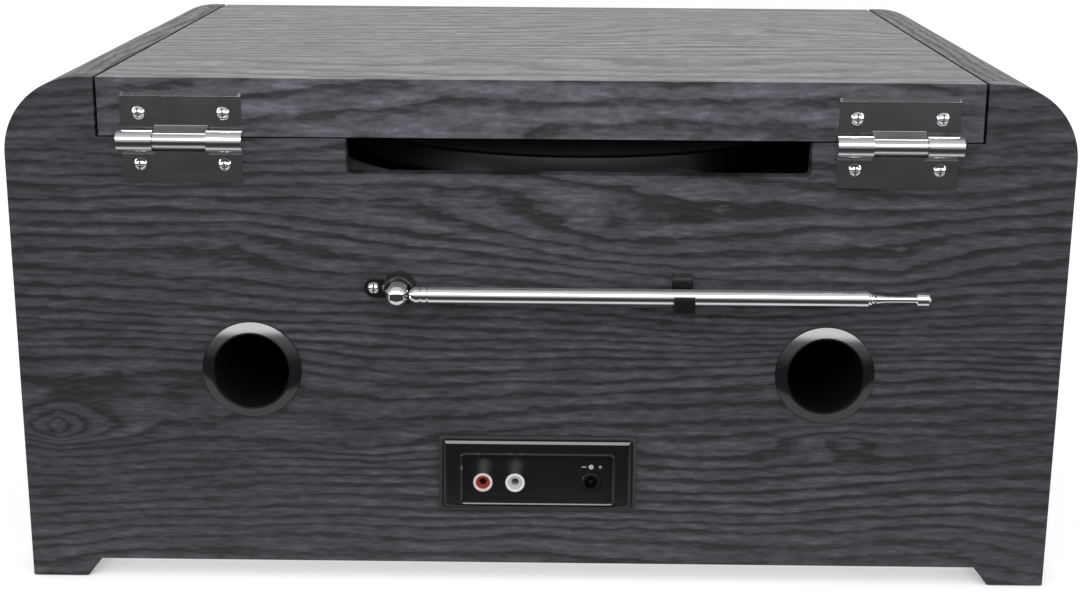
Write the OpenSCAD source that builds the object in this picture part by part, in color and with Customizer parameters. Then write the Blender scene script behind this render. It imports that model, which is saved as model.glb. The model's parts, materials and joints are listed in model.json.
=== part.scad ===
// Stereo music centre: a black oak cabinet with a record deck under a hinged lid, radio,
// disc player and two ported loudspeakers. Millimetres. +Z up, the front faces -Y.
// The origin is at the middle of the footprint, on the surface that the pads stand on.

/* [Cabinet] */
// Width across the side panels
case_w = 440; // [424:1:470]
// Height from the pads' undersides to the lid's top
case_h = 219; // [212:1:240]
// Depth from the front face to the back face
case_d = 300; // [296:1:330]
// Outer radius of the top shoulders
shoulder_r = 32; // [26:1:36]
// Width of the fixed top rail at each side
rail_w = 37.85; // [36.5:0.05:42]
// Thickness of the side panels
side_t = 12; // [9:0.5:14]
// Thickness of the back panel
back_t = 9; // [6:0.5:12]
// Thickness of the front baffle
baffle_t = 12; // [9:0.5:15]
// Thickness of the bottom panel
bottom_t = 9; // [6:0.5:12]
// Thickness of the inner partitions
partition_t = 9; // [6:0.5:11]
// Height of the cut-out between the feet
foot_h = 8.5; // [6:0.5:12]
// Width of each foot, on the ground
foot_w = 23.6; // [20:0.2:30]
// How far each foot widens towards its top
foot_slope = 6.7; // [2:0.1:10]
// Radius of the round pads under the feet
pad_r = 4.5; // [3:0.5:5.5]
// How far the pads stand proud
pad_proud = 0.5; // [0.3:0.1:1.5]

/* [Lid] */
// Height of the lid's walls and top together
lid_h = 24; // [20:0.5:28]
// Thickness of the lid's top board
lid_top_t = 9; // [6:0.5:10]
// Thickness of the lid's walls
lid_wall_t = 12; // [8:0.5:13]
// Gap at each side of the lid
lid_gap = 1.3; // [0.8:0.1:2]
// Gap under the closed lid
seam_gap = 0.6; // [0.4:0.1:0.9]
// Depth of the dark lip along the lid's front edge
lip_d = 12.3; // [8:0.1:16]
// Height of the lip
lip_h = 11; // [8:0.5:14]
// How far the lid opens, in degrees
lid_open = 72; // [60:1:72]

/* [Record slot] */
// Width of the slot that a long-playing record stands out of
slot_w = 191; // [185:1:200]
// Depth of the slot below the lid
slot_h = 14.4; // [12:0.2:17]
// Middle of the slot, across the cabinet
slot_x = -16; // [-20:1:-12]

/* [Hinges] */
// Middle of each hinge, measured in from the lid's side
hinge_x = 34.45; // [31:0.05:42]
// Length of the knuckles together
hinge_len = 51; // [46:0.5:54]
// Length of each end knuckle
knuckle_len = 14.5; // [12:0.5:16]
// Radius of the end knuckles
knuckle_r = 4.4; // [4:0.1:4.5]
// Radius of the middle barrel
barrel_r = 3.3; // [3:0.1:3.6]
// Radius of the hinge pin
hinge_pin_r = 1.6; // [1.2:0.1:1.8]
// Width of the leaves
leaf_w = 49.5; // [44:0.5:52]
// Thickness of the leaves
leaf_t = 1.5; // [1:0.1:1.8]
// Top edge of the lid's leaf, above the pin
leaf_up = 19.3; // [16:0.1:20]
// Lower edge of the cabinet's leaf, below the pin
leaf_down = 17.8; // [16:0.2:20]
// Pin's distance behind the back face
hinge_off = 4.7; // [4.6:0.1:5]
// Spacing of the screws along a leaf
hinge_screw_pitch = 34.6; // [30:0.2:38]
// Height of the lid leaf's screws above the pin
lid_screw_up = 11; // [9:0.5:12]
// Depth of the cabinet leaf's screws below the pin
case_screw_down = 10.2; // [9:0.2:12]
// Radius of the domed screw heads
screw_head_r = 2.7; // [2:0.1:3.2]

/* [Lid stay] */
// Radius of the curved stay, about the hinge pin
stay_r = 150; // [140:1:160]
// Width of the stay's band
stay_w = 10; // [7:0.5:12]
// Thickness of the stay
stay_t = 1.5; // [1:0.1:2]

/* [Antenna] */
// Swivel axis, across the cabinet
antenna_x = 58.1; // [50:0.5:64]
// Height of the swivel axis
antenna_z = 132; // [128:1:140]
// Distance of the folded rod behind the back face
antenna_off = 13; // [12.8:0.1:15]
// Length from the swivel axis to the outer tube's end
tube_end = 193.8; // [185:0.2:200]
// Outer radius of the outer tube
tube_r = 3.4; // [3.2:0.1:3.6]
// Wall of each tube
tube_wall = 0.45; // [0.35:0.05:0.5]
// Radial gap between one tube and the next
tube_gap = 0.2; // [0.1:0.05:0.25]
// Radius of the thin rod
rod_r = 1.3; // [1.1:0.1:1.4]
// Radius of the end cap
cap_r = 2.8; // [2.4:0.1:3.2]
// Length of the end cap
cap_len = 6; // [4:0.5:8]
// Radius of the swivel's ball
ball_r = 4.9; // [4.6:0.1:5.2]
// Place of the clip, measured from the swivel axis
clip_along = 118; // [110:1:125]
// Width of the clip
clip_w = 8.6; // [6:0.2:12]
// Thickness of the clip's shelf
clip_wall = 2.6; // [1.8:0.1:3.2]

/* [Rear fittings] */
// Middle of each bass port, measured from the cabinet's middle
port_x = 121; // [118:1:126]
// Height of the bass ports
port_z = 95.5; // [90:0.5:104]
// Radius of the ports' bore
port_r = 15.75; // [14:0.25:16.5]
// Radius of the ports' flange
port_flange_r = 21; // [20:0.5:24]
// Wall of the port tubes
port_wall = 1.8; // [1.2:0.1:2.4]
// How far the flange stands proud
port_proud = 4; // [3:0.5:5]
// Length of the port tubes inside the cabinet
port_len = 78; // [60:1:90]
// Width of the connection plate
plate_w = 84.4; // [80:0.2:90]
// Height of the connection plate
plate_h = 34; // [32:0.5:38]
// Height of the plate's middle
plate_z = 50.2; // [48:0.2:56]
// How far the plate stands proud
plate_proud = 2.6; // [2:0.2:3.2]
// Width of the plate's sunk panel
recess_w = 64; // [62:0.5:68]
// Height of the plate's sunk panel
recess_h = 21.8; // [20:0.2:23]
// Height of the sunk panel's middle
recess_z = 47.8; // [47:0.2:54]
// Depth of the sunk panel
recess_d = 3.6; // [3:0.2:3.8]
// Red phono socket, across the cabinet
rca_x = 23.1; // [22:0.1:24]
// Distance between the two phono sockets
rca_pitch = 13.7; // [13:0.1:15]
// Radius of the phono sockets' shells
rca_r = 4.15; // [4.1:0.05:4.2]
// Height of the phono sockets
socket_z = 48.2; // [46:0.2:53]
// Length of the phono sockets' shells
rca_len = 8.6; // [7:0.2:9]
// Supply inlet, across the cabinet
dc_x = -23.1; // [-25:0.1:-21]
// Height of the supply inlet
dc_z = 45.8; // [45:0.2:53]
// Radius of the supply inlet's bore
dc_bore_r = 2.85; // [2.75:0.05:3]
// Radius of the supply inlet's pin
dc_pin_r = 1; // [0.9:0.05:1.1]

/* [Record deck] */
// Depth of the deck's top face below the lid's top
deck_drop = 47; // [46:0.5:48]
// Thickness of the deck plate
deck_t = 2.5; // [2:0.1:3]
// Depth of the round well that the platter turns in
well_d = 4; // [3:0.5:5]
// Distance from the platter's rim to the back face
spindle_back = 22; // [18:1:26]
// Radius of the spindle
spindle_r = 3.62; // [3.6:0.01:3.63]
// Radius of the platter
platter_r = 108; // [100:1:112]
// Height of the record's plane above the deck
record_up = 13; // [12.5:0.5:14]
// Thickness of the slipmat
mat_t = 1.4; // [1:0.1:2]
// Radius of the platter's belt ring
ring_r = 68; // [60:1:72]
// Radius of the motor pulley's groove
pulley_r = 3.5; // [3:0.1:4]
// Distance from the spindle to the motor
motor_dist = 88; // [86:1:91]
// Direction from the spindle to the motor, in degrees
motor_dir = 120; // [110:1:130]
// Radius of the motor
motor_r = 16; // [13:0.5:17]
// Length of the motor
motor_len = 27; // [20:1:32]

/* [Tonearm] */
// Tonearm pivot, measured in from the inside of the lid's wall
arm_x = 32.85; // [32:0.05:34.8]
// Tonearm pivot's distance in front of the back face
arm_back = 50; // [49:0.5:54]
// Height of the arm tube's axis above the deck
arm_up = 25.5; // [25:0.5:26]
// Length from the pivot to the stylus
arm_len = 187; // [180:1:190]
// Radius of the arm tube
arm_r = 4; // [3:0.1:4.2]
// Angle of the head shell, in degrees
head_turn = 20; // [12:1:24]
// Length of the head shell, from the tube's end to the stylus
head_len = 34; // [30:1:38]
// Distance of the arm rest from the pivot
rest_along = 118; // [112:1:124]

/* [Front panel] */
// Width of the fascia
fascia_w = 180; // [178:1:186]
// Height of the fascia's lower edge
fascia_z0 = 22; // [20:1:24]
// Depth of the fascia's top edge below the lid
fascia_z1 = 11; // [7:1:13]
// How far the fascia stands proud
fascia_proud = 4; // [3:0.5:5]
// Thickness of the fascia's front
fascia_t = 3; // [2.5:0.5:3.5]
// Width of the dial window
window_w = 148; // [140:1:152]
// Height of the dial window
window_h = 34; // [30:1:36]
// Depth of the dial window's middle below the fascia's top edge
window_z = 37; // [36:1:39]
// Depth of the knobs' row below the dial window's middle
knob_z = 35; // [34:0.5:36]
// Distance from the middle knob to the outer ones
knob_pitch = 58; // [54:1:60]
// Radius of the knobs
knob_r = 15; // [12:0.5:17]
// Length of the knobs
knob_len = 15.4; // [12:0.2:18]
// Radius of the knobs' shafts
shaft_r = 3; // [2.5:0.1:3.2]
// Travel of the dial pointer
dial_travel = 120; // [100:1:126]
// Turns of the tuning knob from end to end
dial_turns = 1.8; // [1.5:0.1:2.2]
// Width of the disc drawer's front
tray_w = 136; // [132:1:138]
// Height of the disc drawer's front
tray_h = 17; // [16:0.5:18]
// Height of the disc drawer's middle, from halfway between the buttons and the knobs
tray_z = -5; // [-6:0.5:-4]
// How far the disc drawer opens
tray_travel = 132; // [120:1:134]
// Height of the push buttons
button_z = 42; // [40:0.5:44]
// Distance between push buttons
button_pitch = 20; // [16:1:21]
// Radius of the push buttons
button_r = 5.5; // [4:0.5:6.5]
// Travel of the push buttons
button_travel = 1.2; // [0.8:0.1:1.5]

/* [Loudspeakers] */
// Middle of each loudspeaker, measured from the cabinet's middle
speaker_x = 151; // [150:1:154]
// Height of the loudspeakers above the middle of the baffle
speaker_z = 0.25; // [-3.5:0.25:4]
// Radius of the loudspeakers' front ring
speaker_r = 45; // [42:0.5:47]
// Depth of the loudspeakers behind the baffle's face
speaker_d = 52; // [46:1:60]
// Width of the cloth grilles
grille_w = 110; // [104:1:112]
// Height of the cloth grilles
grille_h = 158; // [150:1:162]
// Thickness of the cloth grilles
grille_t = 8; // [7:0.5:9]

/* [Hidden] */
$fn = 96;

// Clearances: a seated face, a running fit, a loose gap beside something that moves
seat = 0.1;
run = 0.05;
loose = 0.3;
eps = 0.01;

// Where the cabinet stands along Y, so that the whole footprint is centred
knob_reach = fascia_proud + 0.6 + knob_len;
rear_reach = antenna_off + tube_r + loose + clip_wall;
back_y = (case_d + knob_reach - rear_reach) / 2;
front_y = back_y - case_d;
inner_front = front_y + baffle_t;
inner_back = back_y - back_t;
inner_d = inner_back - inner_front;
inner_x = case_w / 2 - side_t;
foot_x = case_w / 2 - foot_w;
pad_ys = [inner_front + pad_r + 4, inner_back - pad_r - 4];

// Lid
lid_w = case_w - 2 * (rail_w + lid_gap);
notch_x = case_w / 2 - rail_w;
lid_z = case_h - lid_h;
notch_z = lid_z - seam_gap;
hinge_y = back_y + hinge_off;
hinge_z = lid_z - 1.3;
hinge_mid = lid_w / 2 - hinge_x;
hinge_play = 0.15;
barrel_len = hinge_len - 2 * knuckle_len - 2 * hinge_play;
lid_wall_in = lid_w / 2 - lid_wall_t;
lid_under = case_h - lid_top_t;
hinge_screw_xs = [for (s = [-1, 1], t = [-1, 1]) s * hinge_mid + t * hinge_screw_pitch / 2];

// Inside
bottom_z = foot_h + 3;
floor_z = bottom_z + bottom_t;
partition_x = 97.5;
batten_w = 12;
batten_h = 15;
deck_z = case_h - deck_drop;
well_z = deck_z - well_d;
deck_under = deck_z - deck_t;
well_under = well_z - deck_t;
well_r = platter_r + 4;
spindle_x = slot_x;
spindle_y = back_y - platter_r - spindle_back;
record_z = deck_z + record_up;
platter_top = record_z - mat_t;
motor_x = spindle_x + motor_dist * cos(motor_dir);
motor_y = spindle_y + motor_dist * sin(motor_dir);
motor_hole_r = 7;
belt_t = 0.6;
belt_w = 5;
belt_z = well_z + 5;
spindle_up = 9;
bearing_r = spindle_r + 0.85;

// Tonearm
pivot_x = lid_wall_in - arm_x;
arm_y = back_y - arm_back;
arm_z = deck_z + arm_up;
base_plate_t = 2.5;
base_plate_r = 17;
pillar_r = 11;
yoke_z = arm_z - 9.5;
rest_y = arm_y - rest_along;
clip_x = pivot_x + arm_r + 5.2;
cue_y = arm_y - 30;
cue_bar_r = 1.5;
cue_z = arm_z - arm_r - loose - cue_bar_r;
cue_crank = 3;
speed_in = 58;
speed_x = speed_in - inner_x;
speed_y = front_y + 36;
speed_travel = 12;
ear_in = 5.4;
arm_tube = sqrt(pow(arm_len, 2) - pow(head_len * sin(head_turn), 2)) - head_len * cos(head_turn);
stylus_gap = 2.2;

// Stay: where its band starts in the lid, and where its stop pin is
stay_x = -lid_wall_in + 4;
stay_top_a = 180 - asin((lid_under - 1.6 - hinge_z) / stay_r);
stay_exit_a = asin((hinge_z - deck_under) / stay_r);
stay_stop_r = 3;
stay_stop_a = 180 + stay_exit_a + lid_open + asin((stay_stop_r + 2 * loose) / stay_r);

// Front
fascia_top = lid_z - fascia_z1;
window_mid = fascia_top - window_z;
knob_row = window_mid - knob_z;
tray_mid = (button_z + knob_row) / 2 + tray_z;
speaker_mid_z = (foot_h + lid_z) / 2 + speaker_z;
fascia_h = fascia_top - fascia_z0;
fascia_z = (fascia_z0 + fascia_top) / 2;
fascia_y = front_y - fascia_proud;
fascia_in = 6;
board_back = 24;
board_y = front_y + board_back;
board_t = 1.6;
control_in = 7;
control_low = fascia_z0 + 8;
control_top = knob_row + 24;
scale_y = front_y + 9;
scale_t = 2;
pointer_y = front_y + 5;
drum_r = dial_travel / (dial_turns * 2 * PI);
cord_y = scale_y + scale_t + 2.3;
cord_t = 0.8;
post_r = 3;
post_x = window_w / 2 - 3;
post_z = window_mid + window_h / 2 + 1;
disc_r = 60;
hub_gap_r = 18;
button_x0 = -70;
display_w = 62;
display_h = 17;
display_x = 42;
display_in = 4;
ear_y = [front_y + 30, front_y + 130];
loader_w = 146;
runner_x = disc_r + 6;
loader_d = 156;
vent_w = 40;
vent_d = 70;
vent_y = 60;
loader_z0 = tray_mid - 14;
loader_z1 = tray_mid + 16;
tray_floor = tray_mid - 5;
switch_h = 4;
cord_r = cord_t / 2;
scale_w = fascia_w - 2 * fascia_in - 5 - 2 * seat;
scale_top = window_mid - 1 + (window_h + 6) / 2;
button_xs = [for (i = [0 : 3]) button_x0 + i * button_pitch];
knob_xs = [-knob_pitch, 0, knob_pitch];
standoff_in = 11;
standoff_low = 14;
standoff_up = 18;
standoffs = [
    for (s = [-1, 1], z = [fascia_z0 + standoff_low, knob_row + standoff_up])
        [s * (fascia_w / 2 - standoff_in), z]
];

// Antenna
antenna_y = back_y + antenna_off;
tube2_r = tube_r - tube_wall - tube_gap;
tube3_r = tube2_r - tube_wall - tube_gap;
rod_tip = tube_end + 19;
antenna_screw_x = antenna_x + 10.6;
ear_t = 2.2;
boss_r = 7;
boss_h = 6;
boss_stem_r = 4.5;
tongue_t = 2.6;
fork_stem_r = 3;
fork_pin_r = 1.2;
tongue_r = ball_r - 0.5;
fork_depth = tongue_r + 0.2;
clip_plate_t = 3;

// Rear
rca_xs = [rca_x, rca_x - rca_pitch];
rca_stem_r = rca_r - 0.3;
rca_wall = 0.6;
panel_y = back_y + plate_proud - recess_d;

// ---- helpers ----

// Extrudes an outline drawn in X and Z along Y
module along_y(y0, y1) translate([0, y1, 0]) rotate([90, 0, 0]) linear_extrude(y1 - y0) children();

// Extrudes an outline drawn in Y and Z along X
module along_x(x0, x1) translate([x0, 0, 0]) rotate([90, 0, 90]) linear_extrude(x1 - x0) children();

module y_cyl(r, y0, y1) translate([0, y0, 0]) rotate([-90, 0, 0]) cylinder(r = r, h = y1 - y0);

module x_cyl(r, x0, x1) translate([x0, 0, 0]) rotate([0, 90, 0]) cylinder(r = r, h = x1 - x0);

// Turns a profile drawn as radius and height about the Y axis; height runs towards +Y
module turned_y() rotate([-90, 0, 0]) rotate_extrude() children();

module round_rect(w, h, r) {
    square([w - 2 * r, h], center = true);
    square([w, h - 2 * r], center = true);
    for (sx = [-1, 1], sy = [-1, 1])
        translate([sx * (w / 2 - r), sy * (h / 2 - r)]) circle(r);
}

module both_sides() {
    children();
    mirror([1, 0, 0]) children();
}

// ---- cabinet ----

module shoulder_outline(half_w, top, r, bottom) {
    translate([-half_w, bottom]) square([2 * half_w, top - r - bottom]);
    translate([-half_w + r, bottom]) square([2 * (half_w - r), top - bottom]);
    for (s = [-1, 1]) translate([s * (half_w - r), top - r]) circle(r);
}

// A foot's cut-out: half width at the ground, half width at the top
module foot_cut(half_w)
    polygon([
        [-half_w, -1], [-half_w, 0], [-half_w + foot_slope, foot_h],
        [half_w - foot_slope, foot_h], [half_w, 0], [half_w, -1]
    ]);

// The end boards cover the whole outline, with a notch for the lid
module end_outline() difference() {
    shoulder_outline(case_w / 2, case_h, shoulder_r, pad_proud);
    foot_cut(foot_x);
    translate([-notch_x, notch_z]) square([2 * notch_x, lid_h * 2]);
}

module side_panel() difference() {
    along_y(inner_front, inner_back) difference() {
        shoulder_outline(case_w / 2, case_h, shoulder_r, pad_proud);
        shoulder_outline(inner_x, case_h - side_t, shoulder_r - side_t, -1);
        translate([-case_w, -1]) square([case_w + notch_x, case_h + 2]);
    }
    translate([0, (front_y + back_y) / 2, 0]) along_x(inner_x - 1, case_w / 2 + 1)
        foot_cut(case_d / 2 - foot_w - side_t);
    for (y = pad_ys) translate([case_w / 2 - side_t / 2, y, -1])
        cylinder(r = pad_r + seat, h = pad_proud + 1 + 1.2);
}

module side_panel_left() color("#3b3c40") mirror([1, 0, 0]) side_panel();

module side_panel_right() color("#3b3c40") side_panel();

module back_panel() color("#3f4044") difference() {
    along_y(inner_back, back_y) difference() {
        end_outline();
        translate([slot_x, notch_z]) round_rect(slot_w, 2 * slot_h, 2.5);
        for (s = [-1, 1]) translate([s * port_x, port_z]) circle(port_r + port_wall + seat);
        translate([0, plate_z]) square([recess_w + 6, plate_h - 6], center = true);
        translate([antenna_x, antenna_z]) circle(boss_stem_r + seat);
        for (x = hinge_screw_xs) translate([x, hinge_z - case_screw_down]) circle(1.25);
        translate([antenna_screw_x, antenna_z]) circle(1.25);
    }
}

module front_baffle() color("#3b3c40") along_y(front_y, inner_front) difference() {
    end_outline();
    for (s = [-1, 1]) translate([s * speaker_x, speaker_mid_z]) circle(speaker_r - 6);
    translate([0, fascia_z]) square([fascia_w - 2 * fascia_in, fascia_h - 2 * fascia_in], center = true);
}

module bottom_panel() color("#4a4038")
    translate([-inner_x, inner_front, bottom_z]) cube([2 * inner_x, inner_d, bottom_t]);

// Two partitions that close off the speaker chambers, and two battens that carry the deck
module inner_boards() color("#6b5a45") {
    both_sides() translate([partition_x - partition_t / 2, inner_front, floor_z])
        cube([partition_t, inner_d, well_under - floor_z]);
    both_sides() translate([inner_x - batten_w, inner_front, deck_under - batten_h])
        cube([batten_w, inner_d, batten_h]);
}

module foot_pads() color("#1a1a1a") both_sides() for (y = pad_ys)
    translate([case_w / 2 - side_t / 2, y, 0]) cylinder(r = pad_r, h = pad_proud + 1.2);

// ---- lid ----

module lid_shell() color("#47484c") difference() {
    translate([-lid_w / 2, front_y, lid_z]) cube([lid_w, case_d, lid_h]);
    translate([-lid_wall_in, front_y + lid_wall_t, lid_z - 1])
        cube([2 * lid_wall_in, case_d - 2 * lid_wall_t, lid_h - lid_top_t + 1]);
    translate([-lid_w / 2 - 1, front_y - 1, case_h - lip_h])
        cube([lid_w + 2, lip_d + 1, lip_h + 1]);
    for (x = hinge_screw_xs) translate([x, 0, hinge_z + lid_screw_up])
        y_cyl(1.25, back_y - 9, back_y + 1);
}

// A finger lip along the front edge, rounded at its top and hollowed underneath
module lid_front_lip() color("#232427") along_x(-lid_w / 2, lid_w / 2) difference() {
    union() {
        translate([front_y + 4, case_h - lip_h]) square([lip_d - 4, lip_h]);
        translate([front_y, case_h - lip_h]) square([lip_d, lip_h - 4]);
        translate([front_y + 4, case_h - 4]) circle(4);
    }
    translate([front_y, case_h - lip_h]) circle(4);
}

// ---- hinges ----

// One leaf plate on the back face; z runs from the pin
module leaf_plate(z0, z1) along_y(back_y, back_y + leaf_t)
    translate([0, (z0 + z1) / 2]) round_rect(leaf_w, z1 - z0, 1);

// The rolled part of a leaf: a barrel about the pin, joined to the plate by a web
module knuckle(r, x0, x1, side) difference() {
    union() {
        translate([0, hinge_y, 0]) x_cyl(r, x0, x1);
        along_x(x0, x1) polygon([
            [back_y + seat, 0], [back_y + seat, side * (knuckle_r + 1.6)],
            [back_y + leaf_t, side * (knuckle_r + 1.6)], [hinge_y, side * r * 0.9], [hinge_y, 0]
        ]);
    }
    translate([0, hinge_y, 0]) x_cyl(hinge_pin_r + run, x0 - 1, x1 + 1);
}

module lid_leaf() difference() {
    union() {
        leaf_plate(knuckle_r + 0.6, leaf_up);
        knuckle(barrel_r, -barrel_len / 2, barrel_len / 2, 1);
    }
    for (t = [-1, 1]) translate([t * hinge_screw_pitch / 2, 0, lid_screw_up])
        y_cyl(1.6, back_y - 1, back_y + leaf_t + 1);
}

module case_leaf() difference() {
    union() {
        leaf_plate(-leaf_down, -knuckle_r - 0.6);
        for (s = [-1, 1])
            knuckle(knuckle_r, s * hinge_len / 2 - (s > 0 ? knuckle_len : 0),
                    s * hinge_len / 2 + (s < 0 ? knuckle_len : 0), -1);
    }
    for (t = [-1, 1]) translate([t * hinge_screw_pitch / 2, 0, -case_screw_down])
        y_cyl(1.6, back_y - 1, back_y + leaf_t + 1);
}

module at_hinges() for (s = [-1, 1]) translate([s * hinge_mid, 0, hinge_z]) children();

module lid_leaves() color("silver") at_hinges() lid_leaf();

module case_leaves() color("silver") at_hinges() case_leaf();

// A pin with a conical head at its outer end, held by the end knuckles
module hinge_pins() color("silver") both_sides() translate([hinge_mid, hinge_y, hinge_z]) {
    x_cyl(hinge_pin_r, -hinge_len / 2, hinge_len / 2 + 0.2);
    translate([hinge_len / 2 + seat, 0, 0]) rotate([0, 90, 0])
        cylinder(r1 = knuckle_r - 0.4, r2 = hinge_pin_r, h = 1.4);
}

// A domed head with a cross slot, on a plain shank; the shank points to -Y
module screw(head_y, shank) {
    difference() {
        translate([0, head_y - seat, 0]) turned_y() intersection() {
            translate([0, -screw_head_r * 0.35]) circle(screw_head_r * 1.06);
            square([screw_head_r, screw_head_r]);
        }
        for (a = [0, 90]) rotate([0, a, 0])
            translate([-screw_head_r, head_y + screw_head_r * 0.32, -0.35])
                cube([2 * screw_head_r, 2, 0.7]);
    }
    y_cyl(1.2, head_y - shank, head_y);
}

module lid_screws() color("silver") for (x = hinge_screw_xs)
    translate([x, 0, hinge_z + lid_screw_up]) screw(back_y + leaf_t + seat, 8);

module case_screws() color("silver") {
    for (x = hinge_screw_xs)
        translate([x, 0, hinge_z - case_screw_down]) screw(back_y + leaf_t + seat, 8);
    translate([antenna_screw_x, 0, antenna_z]) screw(back_y + ear_t + seat, 8);
}

// A curved band about the hinge pin. It hangs from the lid's wall, passes through a slot
// in the deck and ends in a stop pin that meets the deck's underside when the lid is open.
module ring_band(r0, r1, a0, a1) difference() {
    intersection() {
        circle(r1);
        polygon([[0, 0], for (a = [a0 : (a1 - a0) / 4 : a1 + eps]) 2 * r1 * [cos(a), sin(a)]]);
    }
    circle(r0);
}

module lid_stay() color("silver") translate([0, hinge_y, hinge_z]) {
    along_x(stay_x, stay_x + stay_t)
        ring_band(stay_r - stay_w / 2, stay_r + stay_w / 2, stay_top_a, stay_stop_a);
    translate([0, stay_r * cos(stay_stop_a), stay_r * sin(stay_stop_a)])
        x_cyl(stay_stop_r, stay_x - 3, stay_x + stay_t + 3);
    translate([-lid_wall_in + seat, -stay_r - stay_w / 2 + 1, lid_z + 3 - hinge_z])
        cube([stay_x - (-lid_wall_in) - seat + eps, stay_w + 4, 8]);
}

// ---- antenna ----

// Round boss on the back face with a stem into the panel, and an ear for its screw
module antenna_base() color("#1c1c1e") translate([antenna_x, 0, antenna_z]) difference() {
    union() {
        translate([0, back_y, 0]) turned_y() polygon([
            [0, -back_t + 1], [boss_stem_r, -back_t + 1], [boss_stem_r, 0], [boss_r, 0],
            [boss_r, boss_h - 2], [boss_r - 1.4, boss_h], [0, boss_h]
        ]);
        along_y(back_y, back_y + ear_t) {
            translate([0, -4]) square([antenna_screw_x - antenna_x, 8]);
            translate([antenna_screw_x - antenna_x, 0]) circle(4);
        }
    }
    y_cyl(fork_stem_r + run, back_y - back_t, back_y + boss_h + 1);
    translate([antenna_screw_x - antenna_x, 0, 0]) y_cyl(1.6, back_y - 1, back_y + ear_t + 1);
}

// Swivel ball with a stem that turns in the boss, and a slot that takes the tube's tongue
module antenna_fork() color("silver") translate([antenna_x, 0, antenna_z]) {
    washer_y = back_y + boss_h + loose;
    difference() {
        turned_y() {
            translate([0, back_y - back_t + 1]) square([fork_stem_r, antenna_off + back_t - 1]);
            translate([0, washer_y]) square([fork_stem_r + 1.2, 1.2]);
            intersection() {
                translate([0, antenna_y]) circle(ball_r);
                translate([0, back_y]) square([ball_r + 1, 2 * antenna_off]);
            }
        }
        translate([-ball_r - 1, antenna_y - fork_depth, -tongue_t / 2 - seat])
            cube([2 * ball_r + 2, ball_r + 1 + fork_depth, tongue_t + 2 * seat]);
    }
    translate([0, antenna_y, -ball_r + 1]) cylinder(r = fork_pin_r, h = 2 * ball_r - 2);
}

// Outer tube: pinned tongue, collar with two grooves, then the plain tube along -X
module antenna_tube_1() color("silver") translate([antenna_x, antenna_y, antenna_z]) {
    difference() {
        union() {
            translate([0, 0, -tongue_t / 2]) cylinder(r = tongue_r, h = tongue_t);
            translate([-8, -1.6, -tongue_t / 2]) cube([8, 3.2, tongue_t]);
        }
        translate([0, 0, -tongue_t]) cylinder(r = fork_pin_r + run, h = 2 * tongue_t);
    }
    rotate([0, -90, 0]) rotate_extrude() polygon([
        [0, 5.4], [2.4, 5.4], [tube_r - 0.4, 6.4], [tube_r, 7.4],
        [tube_r, 9.2], [tube_r - 0.35, 9.4], [tube_r - 0.35, 10], [tube_r, 10.2],
        [tube_r, 12], [tube_r - 0.35, 12.2], [tube_r - 0.35, 12.8], [tube_r, 13],
        [tube_r, tube_end - 0.6], [tube_r - 0.4, tube_end], [tube2_r + run * 2, tube_end],
        [tube2_r + run * 2, tube_end - 2], [tube_r - tube_wall, tube_end - 2.4],
        [tube_r - tube_wall, 15], [0, 15]
    ]);
}

// Inner tube: a foot that rides in the tube around it, and a rolled-in end
module inner_tube(r, next_r, foot_r, foot, end) rotate([0, -90, 0]) rotate_extrude() polygon([
    [next_r + 0.4, foot], [foot_r, foot], [foot_r, foot + 6], [r, foot + 6.4],
    [r, end - 0.4], [r - 0.3, end], [next_r + run * 2, end], [next_r + run * 2, end - 2],
    [r - tube_wall, end - 2.4], [r - tube_wall, foot + 6], [next_r + 0.4, foot + 6]
]);

module antenna_tube_2() color("silver") translate([antenna_x, antenna_y, antenna_z])
    inner_tube(tube2_r, tube3_r, tube_r - tube_wall - run * 2, 16, tube_end + 1.2);

module antenna_tube_3() color("silver") translate([antenna_x, antenna_y, antenna_z])
    inner_tube(tube3_r, rod_r, tube2_r - tube_wall - run * 2, 23, tube_end + 2.4);

// Thin rod with a foot inside the third tube, a conical collar and an end cap
module antenna_rod() color("silver") translate([antenna_x, antenna_y, antenna_z])
    rotate([0, -90, 0]) rotate_extrude() polygon([
        [0, 31], [tube3_r - tube_wall - run * 2, 31], [tube3_r - tube_wall - run * 2, 36],
        [rod_r, 36.4], [rod_r, tube_end + 2.6], [tube3_r, tube_end + 2.8],
        [tube3_r - 0.2, tube_end + 3.6], [rod_r + 0.1, tube_end + 7.4],
        [rod_r + 0.1, rod_tip], [cap_r - 0.5, rod_tip], [cap_r, rod_tip + 0.5],
        [cap_r, rod_tip + cap_len - 0.8], [cap_r - 0.8, rod_tip + cap_len],
        [0, rod_tip + cap_len]
    ]);

// A bracket on the back face. The folded rod lies on its shelf, so it lifts up or swings out.
module antenna_clip() color("#1a1a1c") translate([antenna_x - clip_along, 0, antenna_z])
    along_x(-clip_w / 2, clip_w / 2) {
        shelf_z = -tube_r - loose - clip_wall;
        translate([back_y, shelf_z]) square([clip_plate_t, 2 * tube_r + clip_wall + 4]);
        translate([back_y, shelf_z]) square([rear_reach - clip_wall / 2, clip_wall]);
        translate([back_y + rear_reach - clip_wall / 2, shelf_z + clip_wall / 2]) circle(clip_wall / 2);
        translate([back_y + clip_plate_t, shelf_z + clip_wall]) difference() {
            square([2, 2]);
            translate([2, 2]) circle(2);
        }
    }

// ---- rear fittings ----

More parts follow.
